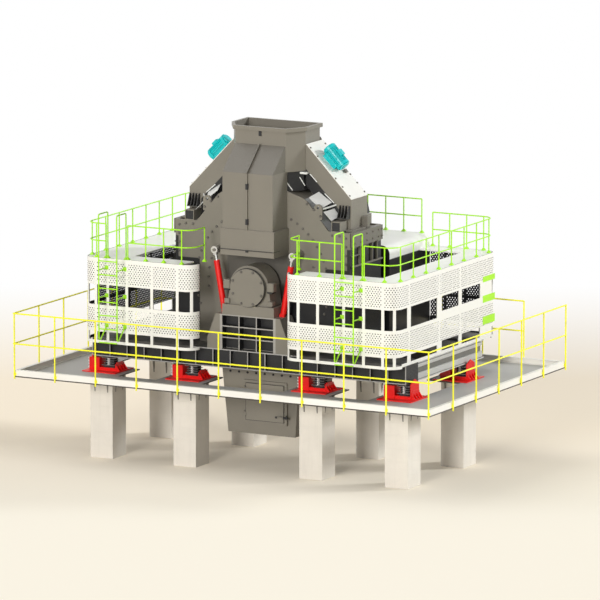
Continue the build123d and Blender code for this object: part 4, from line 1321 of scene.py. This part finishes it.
class CRUSHER_OT_bearing_details(bpy.types.Operator):
    """Adds cover bolts, dark joint rings and side lugs to the rotor bearings"""
    bl_idname = "crusher.bearing_details"
    bl_label = "Bearing details"

    cover_radius = 0.392
    bolt_count = 8

    def execute(self, context):
        low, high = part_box("bearing_housings")
        reach = self.cover_radius - 0.038
        bolts, rings, lugs = [], [], []
        for face, way in ((low.y, -1), (high.y, 1)):
            places = []
            for number in range(self.bolt_count):
                angle = math.radians((number + 0.5) * 360 / self.bolt_count)
                spot = (reach * math.sin(angle), face, rotor_z + reach * math.cos(angle))
                places.append(facing(spot, (0, way, 0)))
            bolts.append(copies(hex_bolt(0.05, 0.022), places))
            only()
            bpy.ops.mesh.primitive_torus_add(major_radius=self.cover_radius + 0.006,
                                             minor_radius=0.009, major_segments=48,
                                             minor_segments=6,
                                             location=(0, face - way * 0.036, rotor_z),
                                             rotation=(math.pi / 2, 0, 0))
            rings.append(settle(bpy.context.object))
            y0, y1 = sorted((face - way * 0.05, face - way * 0.20))
            for side in (-1, 1):
                x0, x1 = right_or_left(side, 0.425, 0.585)
                lugs.append(slab((x0, y0, 3.800), (x1, y1, 3.985), 0.014))
                x0, x1 = right_or_left(side, 0.44, 0.56)
                lugs.append(slab((x0, y0, 3.50), (x1, y1, 3.60), 0.010))
                rings.append(slab((x0, y0 - 0.002, 3.770), (x1, y1 + 0.002, 3.800), 0.003))
        keep(join(bolts), "bearing_cover_bolts", "body_grey", finishes["bolt"])
        keep(join(rings), "bearing_joints", "frame_black", finishes["dark_joints_and_shade"])
        keep(join(lugs), "bearing_lugs", "body_grey", finishes["steel"])
        return {"FINISHED"}


class CRUSHER_OT_isolator_details(bpy.types.Operator):
    """Adds bolts, plates and gussets to the eight vibration isolators"""
    bl_idname = "crusher.isolator_details"
    bl_label = "Isolator details"

    columns = (-3.440, -1.471, 1.471, 3.440)
    rows = (-1.610, 0.910)
    seat_top = 1.836
    block_left = -0.330
    spring_x = 0.090

    def everywhere(self, model):
        """The model of one isolator's fittings, on all eight."""
        return copies(model, [Matrix.Translation((x, y, 0))
                              for x in self.columns for y in self.rows])

    def execute(self, context):
        places = [facing((self.block_left, y, z), (-1, 0, 0)) for y in (-0.14, 0.14)
                  for z in (1.880, 1.942, 2.004, 2.066)]
        heads = copies(hex_bolt(0.042, 0.045), places)
        places = [facing((self.spring_x, side * 0.106, z), (0, side, 0)) for side in (-1, 1)
                  for z in (1.962, 2.004, 2.046, 2.086)]
        clamps = copies(hex_bolt(0.036, 0.045), places)
        keep(self.everywhere(join([heads, clamps])), "isolator_bolts", "white_paint",
             finishes["bright_bolt"])
        x = self.spring_x
        plates = [slab((x - 0.155, -0.155, low), (x + 0.155, 0.155, low + 0.010), 0.003)
                  for low in (1.936, 2.090)]
        plates += [slab((x - 0.125, -0.125, low), (x + 0.125, 0.125, low + 0.006), 0.002)
                   for low in (1.985, 2.030)]
        keep(self.everywhere(join(plates)), "isolator_plates", "white_paint", finishes["zinc"])
        ribs = []
        for y in (-0.165, -0.055, 0.055, 0.165):
            rib = slab((0.290, y - 0.008, self.seat_top), (0.380, y + 0.008, 1.950))
            enter_edit(rib)
            bpy.ops.mesh.bisect(plane_co=(0.300, 0, 1.950), plane_no=(0.115, 0, 0.080),
                                use_fill=True, clear_outer=True)
            leave_edit()
            ribs.append(ease(rib, 0.002))
        ribs.append(slab((0.262, -0.12, self.seat_top), (0.292, 0.12, 2.010), 0.004))
        keep(self.everywhere(join(ribs)), "isolator_gussets", "red_paint", finishes["red"])
        return {"FINISHED"}


class CRUSHER_OT_motor_details(bpy.types.Operator):
    """Adds fins, end covers and terminal boxes to the vibrator motors"""
    bl_idname = "crusher.motor_details"
    bl_label = "Motor details"

    along = 0.560
    lift = 0.184
    radius = 0.120
    fins = 18
    cover_foot = 5.685
    bolt_circle = 0.1325
    sheet_bolts = (0.12, 0.35, 0.95, 1.18, 1.42)

    def execute(self, context):
        cover_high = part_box("rack_covers")[1]
        start_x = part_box("inlet_chute")[1].x - 0.045
        turn = math.atan2(cover_high.z - self.cover_foot, cover_high.x - start_x)
        slope = Vector((math.cos(turn), 0, -math.sin(turn)))
        rise = Vector((math.sin(turn), 0, math.cos(turn)))

        def on_sheet(y, run, lift):
            """A place on the right top sheet, from the machine's middle and down its slope."""
            return Vector((start_x, machine_y + y, cover_high.z)) + slope * run + rise * lift

        fin = slab((self.radius - 0.01, -0.004, -0.165), (self.radius + 0.022, 0.004, 0.165),
                   0.0015)
        turns = [Matrix.Rotation(math.radians(number * 360 / self.fins), 4, "Z")
                 for number in range(self.fins)]
        pieces = [copies(fin, turns)]
        for end in (-1, 1):
            only()
            bpy.ops.mesh.primitive_cylinder_add(vertices=24, radius=0.118, depth=0.03,
                                                location=(0, 0, end * 0.255))
            pieces.append(ease(settle(bpy.context.object), 0.008, 2))
            spots = [facing((self.bolt_circle * math.cos(angle), self.bolt_circle * math.sin(angle),
                             end * 0.240), (0, 0, end))
                     for angle in map(math.radians, range(0, 360, 60))]
            pieces.append(copies(hex_bolt(0.022, 0.012), spots))
        pieces.append(slab((0.10, -0.065, -0.07), (0.175, 0.065, 0.07), 0.008))
        turned = Matrix(((rise.x, 0, slope.x), (0, 1, 0), (rise.z, 0, slope.z))).to_4x4()
        centre = on_sheet(0, self.along, self.lift)
        motor = face_outwards(copies(join(pieces), [Matrix.Translation(centre) @ turned]))
        keep(both_ends(motor), "motor_fins", "teal_paint", finishes["teal"])
        spots = [facing(on_sheet(y, run, 0.013), rise) for run in self.sheet_bolts
                 for y in (-0.325, 0.325)]
        heads = copies(hex_bolt(0.034, 0.016), spots)
        small_box = copies(slab((-0.05, -0.04, 0), (0.05, 0.04, 0.05), 0.006),
                           [facing(on_sheet(0.2, 0.86, 0.014), rise)])
        keep(both_ends(join([heads, small_box])), "top_sheet_bolts", "body_grey", finishes["bolt"])
        return {"FINISHED"}


class CRUSHER_OT_end_wall_details(bpy.types.Operator):
    """Adds ribs, ledges and bolts to the body's end walls, and bars to the end beams"""
    bl_idname = "crusher.end_wall_details"
    bl_label = "End wall details"

    rib_places = (-0.873, -0.740, -0.340, -0.117)
    bar_levels = ((2.174, 2.295), (2.415, 2.490))

    def execute(self, context):
        face = body_high.x
        ribs = [slab((face, y - 0.012, 4.345), (face + 0.055, y + 0.012, 4.745), 0.003)
                for y in self.rib_places]
        ribs.append(slab((face, body_low.y + 0.045, 4.560), (face + 0.05, -0.900, 4.580), 0.003))
        ribs.append(slab((face - 0.18, -1.080, body_shoulder),
                         (face - 0.02, -0.480, body_shoulder + 0.030), 0.004))
        ribs.append(slab((face - 0.16, -0.430, body_shoulder),
                         (face - 0.02, -0.300, body_shoulder + 0.240), 0.006))
        spots = [facing((face + 0.060, y, z), (1, 0, 0))
                 for y in (-1.12, -0.86, -0.60, -0.34, -0.08, 0.06) for z in (4.83, 4.97)]
        ribs.append(copies(hex_bolt(0.04, 0.02), spots))
        # The ribs take the darker end grey, painted shade like the end walls.
        keep(both_ends(join(ribs)), "end_wall_ribs", "body_grey", finishes["end_steel_shaded"])
        # The bars are painted lighter than the beam's web: painted light and shade of the beam's lit and
        # shaded bands.
        web = beam_high.x - 0.082
        front, back = beam_low.y + 0.004, beam_high.y - 0.004
        bars = [slab((web, front, low), (web + 0.050, back, high), 0.004)
                for low, high in self.bar_levels]
        keep(both_ends(join(bars)), "end_beam_bars", "body_grey", finishes["beam_bar_highlight"])
        return {"FINISHED"}


class CRUSHER_OT_chute_details(bpy.types.Operator):
    """Adds bolts to the chute, and the joint line and latch grips of its door"""
    bl_idname = "crusher.chute_details"
    bl_label = "Chute details"

    bolt_level = 1.985
    door_left, door_right = -0.320, 0.570
    door_bottom, door_top = 1.000, 1.780
    joint_width = 0.007
    latch_level = 1.120

    def plate_at(self, node_name, x, z):
        """The place where a node's plate is first met from the front, at x and z."""
        start = Vector((x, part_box("discharge_chute")[0].y - 1.0, z))
        hit, spot = frame["nodes"][node_name].ray_cast(start, Vector((0, 1, 0)))[:2]
        if not hit:
            raise RuntimeError(f"nothing of {node_name} at x {x}, z {z}")
        return spot

    def execute(self, context):
        low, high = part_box("discharge_chute")
        places = [facing((x, y, high.z - 0.024), (0, 0, -1))
                  for x in spread(low.x + 0.06, high.x - 0.06, 0.175)
                  for y in (low.y + 0.03, high.y - 0.03)]
        keep(copies(hex_bolt(0.036, 0.026), places), "chute_flange_bolts", "body_grey",
             finishes["bolt"])
        places = []
        for x in spread(-0.700, 0.700, 0.200):
            spot = self.plate_at("discharge_chute", x, self.bolt_level)
            places.append(facing(spot + Vector((0, 0.002, 0)), (0, -1, 0)))
        keep(copies(hex_bolt(0.040, 0.026), places), "chute_plate_bolts", "body_grey",
             finishes["dark_joints_and_shade"])
        plate = self.plate_at("chute_door", 0, 1.400).y
        left, right, bottom, top = self.door_left, self.door_right, self.door_bottom, self.door_top
        wide = self.joint_width
        lines = [slab((x0, plate - 0.002, z0), (x1, plate + 0.005, z1), 0.001)
                 for x0, x1, z0, z1 in ((left, right, bottom, bottom + wide),
                                        (left, right, top - wide, top),
                                        (left, left + wide, bottom, top),
                                        (right - wide, right, bottom, top))]
        keep(join(lines), "door_joint", "body_grey", finishes["dark_joints_and_shade"], body="door")
        y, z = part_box("chute_door")[0].y + 0.014, self.latch_level
        grips = [rod((0.402, y, z), (0.452, y, z), 0.021, 10, 0.004),
                 rod((0.585, y, z), (0.700, y, z), 0.025, 10, 0.006),
                 rod((0.665, y, z), (0.665, y, z + 0.060), 0.016, 10, 0.004)]
        keep(join(grips), "door_latch_grips", "body_grey", finishes["dark_joints_and_shade"], body="door")
        return {"FINISHED"}


class CRUSHER_PT_panel(bpy.types.Panel):
    bl_label = "Impact crusher"
    bl_idname = "CRUSHER_PT_panel"
    bl_space_type = "VIEW_3D"
    bl_region_type = "UI"
    bl_category = "Crusher"

    def draw(self, context):
        for group in (context.scene.crusher_sizes, context.scene.crusher_colours):
            box = self.layout.box()
            for name in group.bl_rna.properties.keys():
                if name not in ("rna_type", "name"):
                    box.prop(group, name)
        for operator in operators:
            self.layout.operator(operator.bl_idname)


operators = (CRUSHER_OT_stage, CRUSHER_OT_finishes, CRUSHER_OT_guard_sheets,
             CRUSHER_OT_walkway_rails, CRUSHER_OT_roof_rails, CRUSHER_OT_ladders,
             CRUSHER_OT_guard_trim, CRUSHER_OT_rack_openings, CRUSHER_OT_body_bolts,
             CRUSHER_OT_bearing_details, CRUSHER_OT_isolator_details, CRUSHER_OT_motor_details,
             CRUSHER_OT_end_wall_details, CRUSHER_OT_chute_details)
classes = (CrusherSizes, CrusherColours) + operators + (CRUSHER_PT_panel,)


def register():
    """Adds the sizes, colours, operators and panel."""
    for one in classes:
        bpy.utils.register_class(one)
    bpy.types.Scene.crusher_sizes = PointerProperty(type=CrusherSizes)
    bpy.types.Scene.crusher_colours = PointerProperty(type=CrusherColours)


def unregister():
    """Takes them all away again."""
    del bpy.types.Scene.crusher_colours
    del bpy.types.Scene.crusher_sizes
    for one in reversed(classes):
        bpy.utils.unregister_class(one)


def main():
    register()
    for operator in operators:
        area, name = operator.bl_idname.split(".")
        getattr(getattr(bpy.ops, area), name)()


if __name__ == "__main__":
    main()
